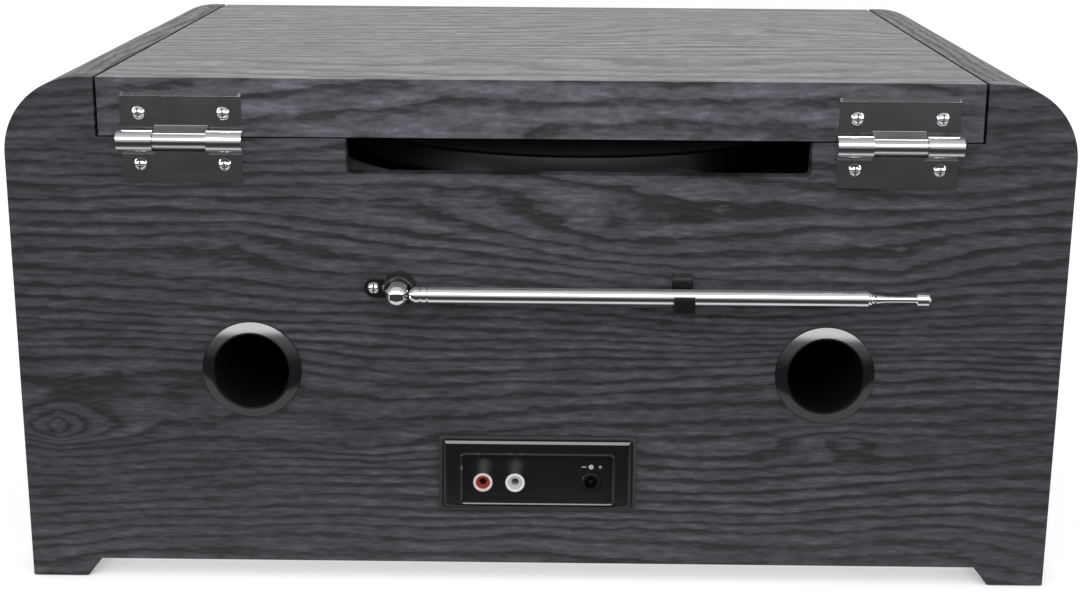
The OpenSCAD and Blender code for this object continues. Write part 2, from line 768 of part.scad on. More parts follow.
// Bell-mouthed flange with an inner step, and a plain tube inside the cabinet
module port_tubes() color("#202124") for (s = [-1, 1]) translate([s * port_x, back_y, port_z])
    turned_y() difference() {
        polygon([
            [port_r, -port_len], [port_r + port_wall, -port_len], [port_r + port_wall, 0],
            [port_flange_r, 0], [port_flange_r, 1.2], [port_flange_r - 1, port_proud - 0.8],
            [port_flange_r - 2.2, port_proud], [port_r + 1.6, port_proud], [port_r + 0.8, 1],
            [port_r, 0.4]
        ]);
        translate([port_r + 1.6, port_proud + 0.6]) circle(1.2);
    }

// Bevelled frame round a sunk panel, with a box behind it that fits the panel's cut-out
module rear_plate() color("#202124") difference() {
    union() {
        along_y(back_y, back_y + plate_proud - 1.2)
            translate([0, plate_z]) round_rect(plate_w, plate_h, 1);
        along_y(back_y + plate_proud - 1.2, back_y + plate_proud)
            translate([0, plate_z]) round_rect(plate_w - 2.4, plate_h - 2.4, 1);
        along_y(back_y - back_t, back_y)
            translate([0, plate_z]) square([recess_w + 5.6, plate_h - 6.4], center = true);
    }
    along_y(back_y + plate_proud - recess_d, back_y + plate_proud + 1)
        translate([0, recess_z]) round_rect(recess_w, recess_h, 1);
    for (x = rca_xs) translate([x, 0, socket_z]) y_cyl(rca_stem_r + seat, back_y - back_t - 1, back_y + 5);
    translate([dc_x, 0, dc_z]) y_cyl(dc_bore_r + 1.5 + seat, back_y - back_t - 1, back_y + 5);
}

// Metal shells that the plugs' collars grip
module rca_shells() color("silver") for (x = rca_xs) translate([x, panel_y, socket_z])
    turned_y() polygon([
        [rca_r - rca_wall, -back_t - 3], [rca_stem_r, -back_t - 3], [rca_stem_r, seat], [rca_r, seat],
        [rca_r, rca_len - 0.4], [rca_r - 0.3, rca_len], [rca_r - rca_wall, rca_len]
    ]);

// Coloured inserts with the hole for the plug's pin, and a sleeve at the bottom
module rca_inserts() color("firebrick") for (x = rca_xs) translate([x, panel_y, socket_z])
    turned_y() polygon([
        [1.65, -back_t - 3], [rca_r - rca_wall, -back_t - 3], [rca_r - rca_wall, rca_len - 1.4],
        [1.65, rca_len - 1.4]
    ]);

// Round supply inlet with its pin
module dc_jack() color("#151517") translate([dc_x, panel_y, dc_z]) turned_y() polygon([
    [0, -back_t - 3], [dc_bore_r + 1.5, -back_t - 3], [dc_bore_r + 1.5, 0.8],
    [dc_bore_r + 1.1, 1.2], [dc_bore_r, 1.2], [dc_bore_r, -8.4], [dc_pin_r, -8.4],
    [dc_pin_r, 0], [dc_pin_r - 0.4, 0.4], [0, 0.4]
]);

// ---- record deck ----

module at_spindle() translate([spindle_x, spindle_y, 0]) children();

// Moulded plate with a round well, and the holes and slots of what stands in it
module deck_plate() color("#1b1c1f") difference() {
    union() {
        difference() {
            translate([-inner_x + seat, inner_front + seat, deck_under])
                cube([2 * (inner_x - seat), inner_d - 2 * seat, deck_t]);
            at_spindle() translate([0, 0, deck_under - 1]) cylinder(r = well_r, h = deck_t + 2);
        }
        at_spindle() rotate_extrude() polygon([
            [0, well_under], [well_r + 2, well_under], [well_r + 2, deck_z + 0.8],
            [well_r + 0.4, deck_z + 0.8], [well_r, deck_z + 0.4], [well_r, well_z], [0, well_z]
        ]);
    }
    at_spindle() translate([0, 0, well_under - 1]) cylinder(r = 6 + seat, h = deck_t + 2);
    translate([motor_x, motor_y, well_under - 1]) cylinder(r = motor_hole_r, h = deck_t + 2);
    translate([pivot_x, arm_y, deck_under - 1]) cylinder(r = 8 + seat, h = deck_t + 2);
    translate([0, hinge_y, hinge_z]) along_x(stay_x - 0.6, stay_x + stay_t + 0.6) difference() {
        ring_band(stay_r - stay_w / 2 - 0.6, stay_r + stay_w / 2 + 0.6, 180, 230);
        translate([-stay_r * 2, -stay_r * 2]) square([stay_r * 4, stay_r * 2 - (hinge_z - deck_under + 3)]);
    }
    translate([speed_x, speed_y, deck_under + deck_t / 2])
        cube([speed_travel + 3 + 2 * loose, 3 + 2 * seat, deck_t * 3], center = true);
}

// Cast platter: rim, top web with a sunk seat for the mat, belt ring and hub
module platter() color("#9a9ca0") at_spindle() rotate_extrude() polygon([
    [bearing_r + run, well_z + 2.3], [12, well_z + 2.3], [12, platter_top - 3],
    [ring_r - 3, platter_top - 3], [ring_r - 3, well_z + 3], [ring_r, well_z + 3],
    [ring_r, platter_top - 3], [platter_r - 4, platter_top - 3], [platter_r - 4, well_z + 2],
    [platter_r - 1, well_z + 2], [platter_r - 1, well_z + 4], [platter_r, well_z + 5],
    [platter_r, platter_top - 0.4], [platter_r - 0.8, platter_top + 0.4],
    [platter_r - 2.4, platter_top + 0.4], [platter_r - 2.4, platter_top],
    [bearing_r + run, platter_top]
]);

module slipmat() color("#232326") at_spindle() difference() {
    translate([0, 0, platter_top]) cylinder(r = platter_r - 3, h = mat_t);
    translate([0, 0, platter_top - 1]) cylinder(r = bearing_r + loose, h = mat_t + 2);
}

// Fixed spindle: bearing sleeve under the well, flange, shaft with a rounded tip
module spindle() color("silver") at_spindle() rotate_extrude() union() {
    polygon([
        [0, well_z - 16], [5, well_z - 16], [6, well_z - 15], [6, well_z], [11, well_z],
        [11, well_z + 2], [bearing_r, well_z + 2], [bearing_r, platter_top - 0.4],
        [spindle_r, platter_top - 0.4], [spindle_r, record_z + spindle_up - spindle_r],
        [0, record_z + spindle_up - spindle_r]
    ]);
    intersection() {
        translate([0, record_z + spindle_up - spindle_r]) circle(spindle_r);
        translate([0, record_z]) square([spindle_r, spindle_up]);
    }
}

// Flat belt round the platter's ring and the motor's pulley
module belt_loop(gap) hull() {
    circle(ring_r + gap);
    translate([motor_dist, 0]) circle(pulley_r + gap);
}

module drive_belt() color("#111111") at_spindle() rotate([0, 0, motor_dir])
    translate([0, 0, belt_z]) linear_extrude(belt_w) difference() {
        belt_loop(seat + belt_t);
        belt_loop(seat);
    }

// Motor can with two fixing ears, under the well
module motor() color("#8a8c90") translate([motor_x, motor_y, 0]) difference() {
    union() {
        translate([0, 0, well_under - motor_len]) cylinder(r = motor_r, h = motor_len - 2);
        translate([0, 0, well_under - 2]) linear_extrude(2) {
            circle(motor_r);
            square([2 * motor_r + 8, 9], center = true);
        }
        translate([0, 0, well_under - motor_len - 2]) cylinder(r = 5, h = 3);
    }
    translate([0, 0, well_under - 9]) cylinder(r = 1 + run, h = 12);
}

module motor_pulley() color("#b08d57") translate([motor_x, motor_y, 0]) rotate_extrude() polygon([
    [0, well_under - 8.6], [1, well_under - 8.6], [1, well_z + 3], [5, well_z + 3],
    [5, belt_z - 0.6], [pulley_r, belt_z - 0.3], [pulley_r, belt_z + belt_w + 0.3],
    [5, belt_z + belt_w + 0.6], [5, belt_z + belt_w + 1.2], [0, belt_z + belt_w + 1.2]
]);

// ---- tonearm ----

// Long base plate with the pivot's pillar, the cue lever's bearing and the arm rest
module tonearm_base() color("#1d1e20") translate([0, 0, deck_z]) difference() {
    union() {
        linear_extrude(base_plate_t) {
            translate([pivot_x, arm_y]) circle(base_plate_r);
            translate([pivot_x - 9, rest_y]) square([22, rest_along]);
            translate([pivot_x + 2, rest_y]) circle(11);
        }
        translate([pivot_x, arm_y, 0]) rotate_extrude() polygon([
            [0, -deck_t - 6], [8, -deck_t - 6], [8, 0], [15, 0], [pillar_r, 5],
            [pillar_r - 1, yoke_z - loose - deck_z], [0, yoke_z - loose - deck_z]
        ]);
        translate([pivot_x + 10, cue_y - 4, 0]) cube([6, 8, cue_z + 3.5 - deck_z]);
        rest_post();
    }
    translate([pivot_x, arm_y, -deck_t - 7]) cylinder(r = 4 + run, h = 40);
    translate([0, cue_y, cue_z - deck_z]) x_cyl(cue_bar_r + run, pivot_x, pivot_x + 20);
    translate([clip_x, rest_y, arm_z + arm_r + loose - 6 - deck_z]) cylinder(r = 1.5 + run, h = 20);
}

// The arm lies on a shelf against a low wall; the clip turns on a pin at its far side
module rest_post() {
    translate([pivot_x - arm_r, rest_y - 4, 0])
        cube([clip_x - pivot_x + arm_r + 4, 8, arm_z - arm_r - loose - deck_z]);
    translate([pivot_x + arm_r + 0.6, rest_y - 4, 0])
        cube([clip_x + 4 - pivot_x - arm_r - 0.6, 8, arm_z + arm_r - deck_z]);
}

// Swivel yoke: stem in the pillar, a disc, and two ears that hold the arm's cross pin
module tonearm_yoke() color("silver") translate([pivot_x, arm_y, 0]) {
    difference() {
        union() {
            translate([0, 0, deck_z - 6]) cylinder(r = 4, h = yoke_z - deck_z + 7);
            translate([0, 0, yoke_z]) cylinder(r = 10, h = 2);
            both_sides() translate([ear_in, 0, 0]) along_x(0, 3) {
                translate([-5, yoke_z + 1]) square([10, arm_z - yoke_z - 1]);
                translate([0, arm_z]) circle(5);
            }
        }
        translate([0, 0, arm_z]) x_cyl(1.5, -20, 20);
    }
    translate([0, 0, arm_z]) x_cyl(1.5, -ear_in - 3.4, ear_in + 3.4);
}

// Arm tube with its pivot block and counterweight, pointing to -Y; the head shell is turned
module tonearm() color("#c9cacc") translate([pivot_x, arm_y, arm_z]) difference() {
    union() {
        y_cyl(arm_r, -arm_tube, 6);
        y_cyl(2.5, 0, 14);
        cube([2 * (ear_in - loose), 15, 12], center = true);
        translate([0, 12, 0]) turned_y() polygon([
            [0, 0], [8, 0], [9, 1], [9, 15], [8, 16], [0, 16]
        ]);
        head_frame() translate([0, 0, 1]) linear_extrude(2.6) polygon([
            [-5, head_len - 6], [5, head_len - 6], [9, 18], [9, -14], [6, -17], [-6, -17],
            [-9, -14], [-9, 18]
        ]);
        head_frame() for (s = [-1, 1]) translate([s * 8.1 - 0.9, -12, -3]) cube([1.8, 28, 5]);
        head_frame() translate([8, -6, 1]) cube([9, 4, 1.6]);
        head_frame() translate([0, 16, 0]) y_cyl(3, 0, head_len - 16);
        translate([0, -arm_tube, 0]) sphere(arm_r);
    }
    x_cyl(1.5 + run, -10, 10);
}

// The head's own frame: origin over the stylus, turned inwards about the tube's end
module head_frame() translate([0, -arm_tube, 0]) rotate([0, 0, -head_turn])
    translate([0, -head_len, 0]) children();

// Cartridge body under the head shell, with the stylus just above the record's plane
module cartridge() color("#26262a") translate([pivot_x, arm_y, arm_z]) head_frame() {
    translate([-6.2, -9, -6]) cube([12.4, 24, 7 - seat]);
    translate([-4, -11, record_z + 4.2 - arm_z]) cube([8, 22, arm_z - 5.9 - record_z - 4.2]);
    translate([0, 0, record_z + stylus_gap - arm_z]) cylinder(r1 = 0.3, r2 = 1.6, h = 2.2);
}

// Hook that turns over the parked arm
module arm_clip() color("#26262a") translate([clip_x, rest_y, arm_z + arm_r + loose]) {
    linear_extrude(1.8) {
        circle(3);
        translate([-2, 0]) square([4, 11]);
        translate([0, 11]) circle(2);
    }
    translate([0, 0, -5.6]) cylinder(r = 1.5, h = 6);
}

// Cranked bar that lifts the arm, with its finger lever
module cue_lever() color("silver") translate([0, cue_y, cue_z]) {
    x_cyl(cue_bar_r, pivot_x + 8, pivot_x + 18);
    translate([0, -cue_crank, 0]) x_cyl(cue_bar_r, pivot_x - 36, pivot_x + 9.6);
    along_x(pivot_x + 8, pivot_x + 9.6) crank_web();
    along_x(pivot_x + 17, pivot_x + 19) {
        circle(3);
        rotate(125) translate([0, -1.6]) square([13, 3.2]);
        rotate(125) translate([13, 0]) circle(2.4);
    }
}

module crank_web() {
    circle(cue_bar_r);
    translate([-cue_crank, 0]) circle(cue_bar_r);
    translate([-cue_crank, -cue_bar_r]) square([cue_crank, 2 * cue_bar_r]);
}

// Three-position slide knob: cap, stem through the deck, and a foot that keeps it in
module speed_lever() color("#2a2a2e") translate([speed_x - speed_travel / 2, speed_y, 0]) {
    translate([-5, -4.5, deck_z + loose]) cube([10, 9, 3]);
    translate([-1.2, -4.5, deck_z + loose]) cube([2.4, 9, 7]);
    translate([-1.5, -1.5, deck_under - loose - 2]) cube([3, 3, deck_t + 2 * loose + 3]);
    translate([-4, -4, deck_under - loose - 2]) cube([8, 8, 2]);
}

// ---- loudspeakers ----

module at_speakers() for (s = [-1, 1]) translate([s * speaker_x, front_y, speaker_mid_z]) children();

// Cloth stretched over a frame that is hollow behind, with one cross bar each way
module speaker_grilles() color("#2b2c30") at_speakers() {
    difference() {
        along_y(-grille_t, 0) round_rect(grille_w, grille_h, 6);
        along_y(-grille_t + 1.6, 1) round_rect(grille_w - 12, grille_h - 12, 3);
    }
}

// Basket and magnet: front ring on the baffle's face, six windows in the cone-shaped wall
module speaker_drivers() color("#3a3b3e") at_speakers() {
    difference() {
        turned_y() polygon([
            [speaker_r - 6.4, -3], [speaker_r, -3], [speaker_r, 0], [speaker_r - 6.4, 0],
            [speaker_r - 6.8, 6], [26, speaker_d - 18], [24, speaker_d - 18],
            [24, speaker_d - 21], [speaker_r - 9, 5], [speaker_r - 9, -1.1],
            [speaker_r - 6.4, -1.1]
        ]);
        for (a = [0 : 60 : 300]) rotate([0, a, 0]) translate([0, 14, 20]) cylinder(r = 7, h = 60);
    }
    turned_y() polygon([
        [0, speaker_d - 18], [28, speaker_d - 18], [28, speaker_d - 15.5], [30, speaker_d - 15.5],
        [30, speaker_d - 3], [28, speaker_d - 3], [28, speaker_d], [0, speaker_d]
    ]);
}

// Paper cone with its roll surround, dust cap and voice coil
function arc(cx, cy, r, a0, a1, n) = [for (i = [0 : n]) let (a = a0 + (a1 - a0) * i / n)
    [cx + r * cos(a), cy + r * sin(a)]];

module speaker_cones() color("#18181a") at_speakers() turned_y() {
    roll_x = speaker_r - 12.4;
    polygon(concat(
        [[speaker_r - 6.6, -1.2], [speaker_r - 6.6, -2]],
        arc(roll_x, -1.2, 3.4, -13, -167, 10),
        [[roll_x - 4.4, -1.6], [roll_x - 4.4, -0.9], [12, 17.4], [12, speaker_d - 18.4],
         [12.8, speaker_d - 18.4], [12.8, 17.6], [roll_x - 3.4, -0.6]],
        arc(roll_x, -1.2, 2.6, -167, -13, 10)
    ));
    polygon(concat(arc(0, 29.4, 17, 270, 316, 6), arc(0, 29.4, 16.2, 316, 270, 6)));
}

// ---- front panel ----

// Moulded front with a box rim through the baffle, openings, and pillars for the board
module fascia() color("#222326") difference() {
    union() {
        along_y(fascia_y, front_y) translate([0, fascia_z]) round_rect(fascia_w, fascia_h, 5);
        along_y(front_y, inner_front) translate([0, fascia_z])
            square([fascia_w - 2 * fascia_in - 2 * seat, fascia_h - 2 * fascia_in - 2 * seat], center = true);
        for (p = standoffs) translate([p[0], 0, p[1]]) y_cyl(3, front_y, board_y);
    }
    difference() {
        along_y(fascia_y + fascia_t, board_y) translate([0, fascia_z])
            square([fascia_w - 2 * fascia_in - 5, fascia_h - 2 * fascia_in - 5], center = true);
        for (p = standoffs) translate([p[0], 0, p[1]]) y_cyl(3, fascia_y, board_y + 1);
    }
    along_y(fascia_y - 1, front_y + 1) {
        translate([0, window_mid]) round_rect(window_w - 4, window_h - 4, 2);
        translate([display_x, button_z]) square([display_w - 3, display_h - 3], center = true);
        translate([0, tray_mid]) square([tray_w + 2 * loose, tray_h + 2 * loose], center = true);
        for (x = button_xs) translate([x, button_z]) circle(button_r + loose);
        for (x = knob_xs) translate([x, knob_row]) circle(shaft_r + 1);
    }
    along_y(fascia_y - 1, fascia_y + 1.6 + seat) {
        translate([0, window_mid]) round_rect(window_w + 2 * seat, window_h + 2 * seat, 2 + seat);
        translate([display_x, button_z])
            square([display_w + 2 * seat, display_h + 2 * seat], center = true);
    }
}

// Clear panes of the dial and of the display
module dial_window() color("#7f8a90", 0.5) along_y(fascia_y, fascia_y + 1.6) {
    translate([0, window_mid]) round_rect(window_w, window_h, 2);
    translate([display_x, button_z]) square([display_w, display_h], center = true);
}

// Scale plate with side feet into the fascia's rim, and the cord's two guide posts behind
module dial_scale() color("#d8d2b8") {
    along_y(scale_y, scale_y + scale_t) difference() {
        translate([0, window_mid - 1]) square([scale_w, window_h + 6], center = true);
        for (p = standoffs) translate(p) circle(3 + seat);
    }
    for (s = [-1, 1]) translate([s * post_x, 0, post_z - post_r - 2])
        y_cyl(post_r, scale_y + scale_t, cord_y + cord_t + 1);
}

// Needle with a saddle that rides on the scale plate's top edge
module dial_pointer() color("#c8452e") translate([-dial_travel / 2, 0, 0]) {
    along_y(pointer_y + 1, pointer_y + 2) translate([-0.6, window_mid - window_h / 2 + 3])
        square([1.2, scale_top - window_mid + window_h / 2 - 2]);
    difference() {
        translate([-4, pointer_y + 1, scale_top - 4])
            cube([8, scale_y + scale_t + 1.6 - pointer_y - 1, 6]);
        translate([-5, scale_y - seat, scale_top - 5])
            cube([10, scale_t + 2 * seat, 5 + seat]);
    }
}

// Dial cord: once round the tuning shaft's drum and over the two posts
module cord_run(a, b) translate(a) rotate(atan2(b[1] - a[1], b[0] - a[0]))
    translate([0, -cord_r]) square([norm(b - a), cord_t]);

module dial_cord() color("#d9d4c0") along_y(cord_y, cord_y + cord_t) {
    post_at = post_z - post_r - 2;
    wrap = post_r + seat + cord_r;
    drum_wrap = drum_r + seat + cord_r;
    translate([knob_pitch, knob_row]) difference() {
        circle(drum_wrap + cord_r);
        circle(drum_wrap - cord_r);
    }
    top_l = [-post_x, post_at + wrap];
    top_r = [post_x, post_at + wrap];
    left = [-post_x - wrap, post_at];
    right = [post_x + wrap, post_at];
    cord_run(top_l, top_r);
    cord_run(right, [knob_pitch + drum_wrap, knob_row]);
    cord_run([-post_x - wrap * 0.62, post_at - wrap * 0.78],
             [knob_pitch - drum_wrap * 0.5, knob_row - drum_wrap * 0.866]);
    for (s = [-1, 1]) translate([s * post_x, post_at]) difference() {
        circle(wrap + cord_r);
        circle(wrap - cord_r);
    }
}

// Turned knob with a grip groove and a marker, and its shaft to the control behind
module knob(shaft_end) {
    difference() {
        translate([0, fascia_y - 0.6 - knob_len, 0]) turned_y() polygon([
            [0, 0.8], [knob_r - 4, 0.8], [knob_r - 3.4, 0], [knob_r - 2, 0], [knob_r - 1, 1],
            [knob_r - 0.4, knob_len - 4], [knob_r, knob_len - 3.4], [knob_r, knob_len],
            [0, knob_len]
        ]);
        translate([-0.6, fascia_y - 0.6 - knob_len - 1, knob_r - 8]) cube([1.2, 2.6, 12]);
    }
    y_cyl(shaft_r, fascia_y - 2, shaft_end);
}

// The tuning knob's shaft carries the cord's drum
module tuning_knob() color("#b9bcc0") translate([knob_pitch, 0, knob_row]) {
    knob(board_y - 2);
    translate([0, cord_y - 1, 0]) turned_y() polygon([
        [0, 0], [drum_r + 0.9, 0], [drum_r + 0.9, 0.6], [drum_r, 0.7], [drum_r, cord_t + 1.3],
        [drum_r + 0.9, cord_t + 1.4], [drum_r + 0.9, cord_t + 2], [0, cord_t + 2]
    ]);
}

module volume_knob() color("#b9bcc0") translate([-knob_pitch, 0, knob_row]) knob(board_y - 2);

module function_knob() color("#b9bcc0") translate([0, 0, knob_row]) knob(board_y - 2);

// Disc drawer: front, floor with the disc's shallow seat, and runners that stay in the loader
module cd_tray() color("#202124") difference() {
    union() {
        along_y(fascia_y, fascia_y + fascia_t) translate([0, tray_mid]) round_rect(tray_w, tray_h, 1);
        translate([-disc_r - 4, fascia_y + 1, tray_floor])
            cube([2 * disc_r + 8, 2 * disc_r + 14, 4]);
        both_sides() translate([runner_x - 14, front_y + 8, tray_floor])
            cube([14, tray_travel + 15, 1.8]);
    }
    translate([0, front_y + disc_r + 6, tray_floor + 2.6]) cylinder(r = disc_r + 1, h = 4);
    translate([0, front_y + disc_r + 6, tray_floor - 1]) cylinder(r = hub_gap_r, h = 6);
    translate([-hub_gap_r, front_y + disc_r + 6, tray_floor - 1])
        cube([2 * hub_gap_r, disc_r + 20, 6]);
}

// Loader: open-fronted case with ledges for the runners, disc hub, and side flanges
module cd_loader() color("#8a8c90") {
    difference() {
        translate([-loader_w / 2, front_y + fascia_in, loader_z0])
            cube([loader_w, loader_d, loader_z1 - loader_z0]);
        translate([-loader_w / 2 + 2, front_y, loader_z0 + 2])
            cube([loader_w - 4, loader_d + fascia_in - 2, loader_z1 - loader_z0 - 4]);
        for (s = [-1, 1]) translate([(s - 0.5) * vent_w, front_y + vent_y, loader_z1 - 4])
            cube([vent_w, vent_d, 8]);
    }
    both_sides() translate([runner_x - 4, front_y + fascia_in, tray_floor - loose - 2])
        cube([loader_w / 2 - 1 - runner_x + 4, loader_d - 4, 2]);
    both_sides() for (y = ear_y) translate([loader_w / 2 - eps, y, loader_z0])
        cube([partition_x - partition_t / 2 - loader_w / 2 + eps, 14, 2]);
    translate([0, front_y + disc_r + 6, loader_z0 + 1]) cylinder(r = 15, h = tray_floor - loader_z0 - 2);
}

// Push button: cap, retaining flange behind the fascia and a stem to its switch
module button(x) translate([x, 0, button_z]) {
    translate([0, fascia_y - 1.6, 0]) turned_y() polygon([
        [0, 0], [button_r - 0.8, 0], [button_r, 0.6], [button_r, 1.6 + fascia_t + loose],
        [button_r + 1.2, 1.6 + fascia_t + loose], [button_r + 1.2, 2.8 + fascia_t + loose],
        [0, 2.8 + fascia_t + loose]
    ]);
    y_cyl(2, fascia_y + fascia_t, board_y - switch_h - button_travel - loose);
}

module button_power() color("#c8c9cc") button(button_xs[0]);

module button_play() color("#c8c9cc") button(button_xs[1]);

module button_stop() color("#c8c9cc") button(button_xs[2]);

module button_skip() color("#c8c9cc") button(button_xs[3]);

// Control board on the fascia's pillars, with the rotary controls, switches and display
module control_board() color("#2f5a3a") difference() {
    union() {
        along_y(board_y, board_y + board_t) difference() {
            translate([0, (control_low + control_top) / 2])
                square([fascia_w - 2 * control_in, control_top - control_low], center = true);
            translate([0, (loader_z0 + loader_z1) / 2])
                square([loader_w + 2, loader_z1 - loader_z0 + 2], center = true);
        }
        for (x = knob_xs) translate([x, 0, knob_row]) y_cyl(8.5, board_y - 7, board_y);
        for (x = [-knob_pitch, 0]) translate([x, 0, knob_row]) y_cyl(4.5, board_y - 15, board_y - 6);
        for (x = button_xs) translate([x - 3, board_y - switch_h, button_z - 3])
            cube([6, switch_h, 6]);
        along_y(board_y - 14, board_y) translate([display_x, button_z])
            square([display_w - 2 * display_in, display_h - 2 * display_in], center = true);
    }
    for (x = knob_xs) translate([x, 0, knob_row]) y_cyl(shaft_r + run, board_y - 20, board_y - 1.6);
}

// Main board on four pillars: rear socket block, heat sink, capacitors and chips
module main_board() color("#2f5a3a") {
    board_w = 148;
    board_d = 100;
    board_z = floor_z + 8;
    block_y = panel_y - back_t - 3;
    block_d = 14;
    pillar_in = 8;
    capacitor_r = 5.5;
    capacitor_h = 20;
    capacitor_pitch = 15;
    sink_x = 28;
    sink_w = 40;
    sink_h = 24;
    fin_pitch = 6;
    fin_d = 12;
    chip_w = 26;
    translate([-board_w / 2, block_y - board_d, board_z]) cube([board_w, board_d, board_t]);
    for (s = [-1, 1], y = [block_y - 10, block_y - board_d + pillar_in])
        translate([s * (board_w / 2 - pillar_in), y, floor_z]) cylinder(r = 3, h = board_z - floor_z);
    translate([rca_x - rca_pitch / 2 - block_d, block_y - block_d, board_z])
        cube([2 * block_d, block_d, socket_z - board_z + 6]);
    translate([dc_x - 6, block_y - block_d, board_z]) cube([12, block_d, dc_z - board_z + 6]);
    for (i = [0 : 2]) translate([-48 + i * capacitor_pitch, block_y - 40, board_z])
        cylinder(r = capacitor_r, h = capacitor_h);
    translate([sink_x, block_y - 60, board_z]) cube([sink_w, 3, sink_h]);
    for (i = [0 : 6]) translate([sink_x + 2 + i * fin_pitch, block_y - 58, board_z])
        cube([1.4, fin_d, sink_h]);
    translate([-20, block_y - 74, board_z]) cube([chip_w, chip_w, 3.4]);
}

side_panel_left();
side_panel_right();
back_panel();
front_baffle();
bottom_panel();
inner_boards();
foot_pads();
lid_shell();
lid_front_lip();
lid_leaves();
case_leaves();
hinge_pins();
lid_screws();
case_screws();
lid_stay();
antenna_base();
antenna_fork();
antenna_tube_1();
antenna_tube_2();
antenna_tube_3();
antenna_rod();
antenna_clip();
port_tubes();
rear_plate();
rca_shells();
rca_inserts();
dc_jack();
deck_plate();
platter();
slipmat();
spindle();
drive_belt();
motor();
motor_pulley();
tonearm_base();
tonearm_yoke();
tonearm();
cartridge();
arm_clip();
cue_lever();
speed_lever();
speaker_grilles();
speaker_drivers();
speaker_cones();
fascia();
dial_scale();
dial_window();
dial_pointer();
dial_cord();
tuning_knob();
volume_knob();
function_knob();
cd_tray();
cd_loader();
button_power();
button_play();
button_stop();
button_skip();
main_board();
control_board();
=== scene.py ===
"""The looks of a stereo music centre in black-stained oak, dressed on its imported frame.

Lengths are in metres, in the frame's own axes: +Z is up and the front faces -Y. The camera looks
at the back, so the right of the picture is -X.
"""
import json
import math

import bmesh
import bpy
from mathutils import Matrix, Vector


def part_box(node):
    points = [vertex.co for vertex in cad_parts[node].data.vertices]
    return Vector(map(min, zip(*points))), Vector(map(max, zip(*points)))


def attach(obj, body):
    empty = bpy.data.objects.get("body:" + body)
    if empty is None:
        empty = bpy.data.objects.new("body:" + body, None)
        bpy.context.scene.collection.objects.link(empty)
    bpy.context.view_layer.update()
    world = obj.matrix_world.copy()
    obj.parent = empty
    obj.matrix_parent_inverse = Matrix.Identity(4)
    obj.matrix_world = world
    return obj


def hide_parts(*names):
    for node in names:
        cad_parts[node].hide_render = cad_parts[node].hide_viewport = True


MM = 0.001

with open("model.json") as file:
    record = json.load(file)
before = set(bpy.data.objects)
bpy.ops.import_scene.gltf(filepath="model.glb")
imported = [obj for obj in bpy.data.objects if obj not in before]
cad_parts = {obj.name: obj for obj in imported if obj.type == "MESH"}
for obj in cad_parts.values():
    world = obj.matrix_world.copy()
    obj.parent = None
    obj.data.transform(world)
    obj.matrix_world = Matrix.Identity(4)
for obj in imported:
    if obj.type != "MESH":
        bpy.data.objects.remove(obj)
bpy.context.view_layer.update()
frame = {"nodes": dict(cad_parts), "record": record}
SLOT_OF = {p["node"]: p["material_slot"] for p in frame["record"]["subparts"]}
BODY_OF = {n: b for b, names in frame["record"]["behaviour"]["bodies"].items() for n in names}
KNOBS = ("volume_knob", "function_knob", "tuning_knob")
BUTTONS = ("power", "play", "stop", "skip")


def mid(node):
    """The middle of a node's box."""
    low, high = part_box(node)
    return (low + high) / 2


# ---- camera ----

LENS = 60.0
PITCH = math.radians(15.006)
YAW = math.radians(0.619)
ROLL = math.radians(0.382)
CAMERA_BEHIND_BACK = 727.8 * MM
CAMERA_X = -8.51 * MM
CAMERA_Z = 320.96 * MM
CLIP_START = 0.01


def add_camera():
    """The photograph's viewpoint, behind and above the cabinet."""
    level = math.cos(PITCH)
    forward = Vector((math.sin(YAW) * level, -math.cos(YAW) * level, -math.sin(PITCH)))
    right = forward.cross(Vector((0, 0, 1))).normalized()
    up = right.cross(forward)
    turn = Matrix.Rotation(-ROLL, 3, forward)
    axes = Matrix((turn @ right, turn @ up, -forward)).transposed().to_4x4()
    data = bpy.data.cameras.new("camera")
    data.lens = LENS
    data.clip_start = CLIP_START
    camera = bpy.data.objects.new("camera", data)
    place = Vector((CAMERA_X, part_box("back_panel")[1].y + CAMERA_BEHIND_BACK, CAMERA_Z))
    camera.matrix_world = Matrix.Translation(place) @ axes
    bpy.context.scene.collection.objects.link(camera)
    bpy.context.scene.camera = camera


# ---- node nets ----


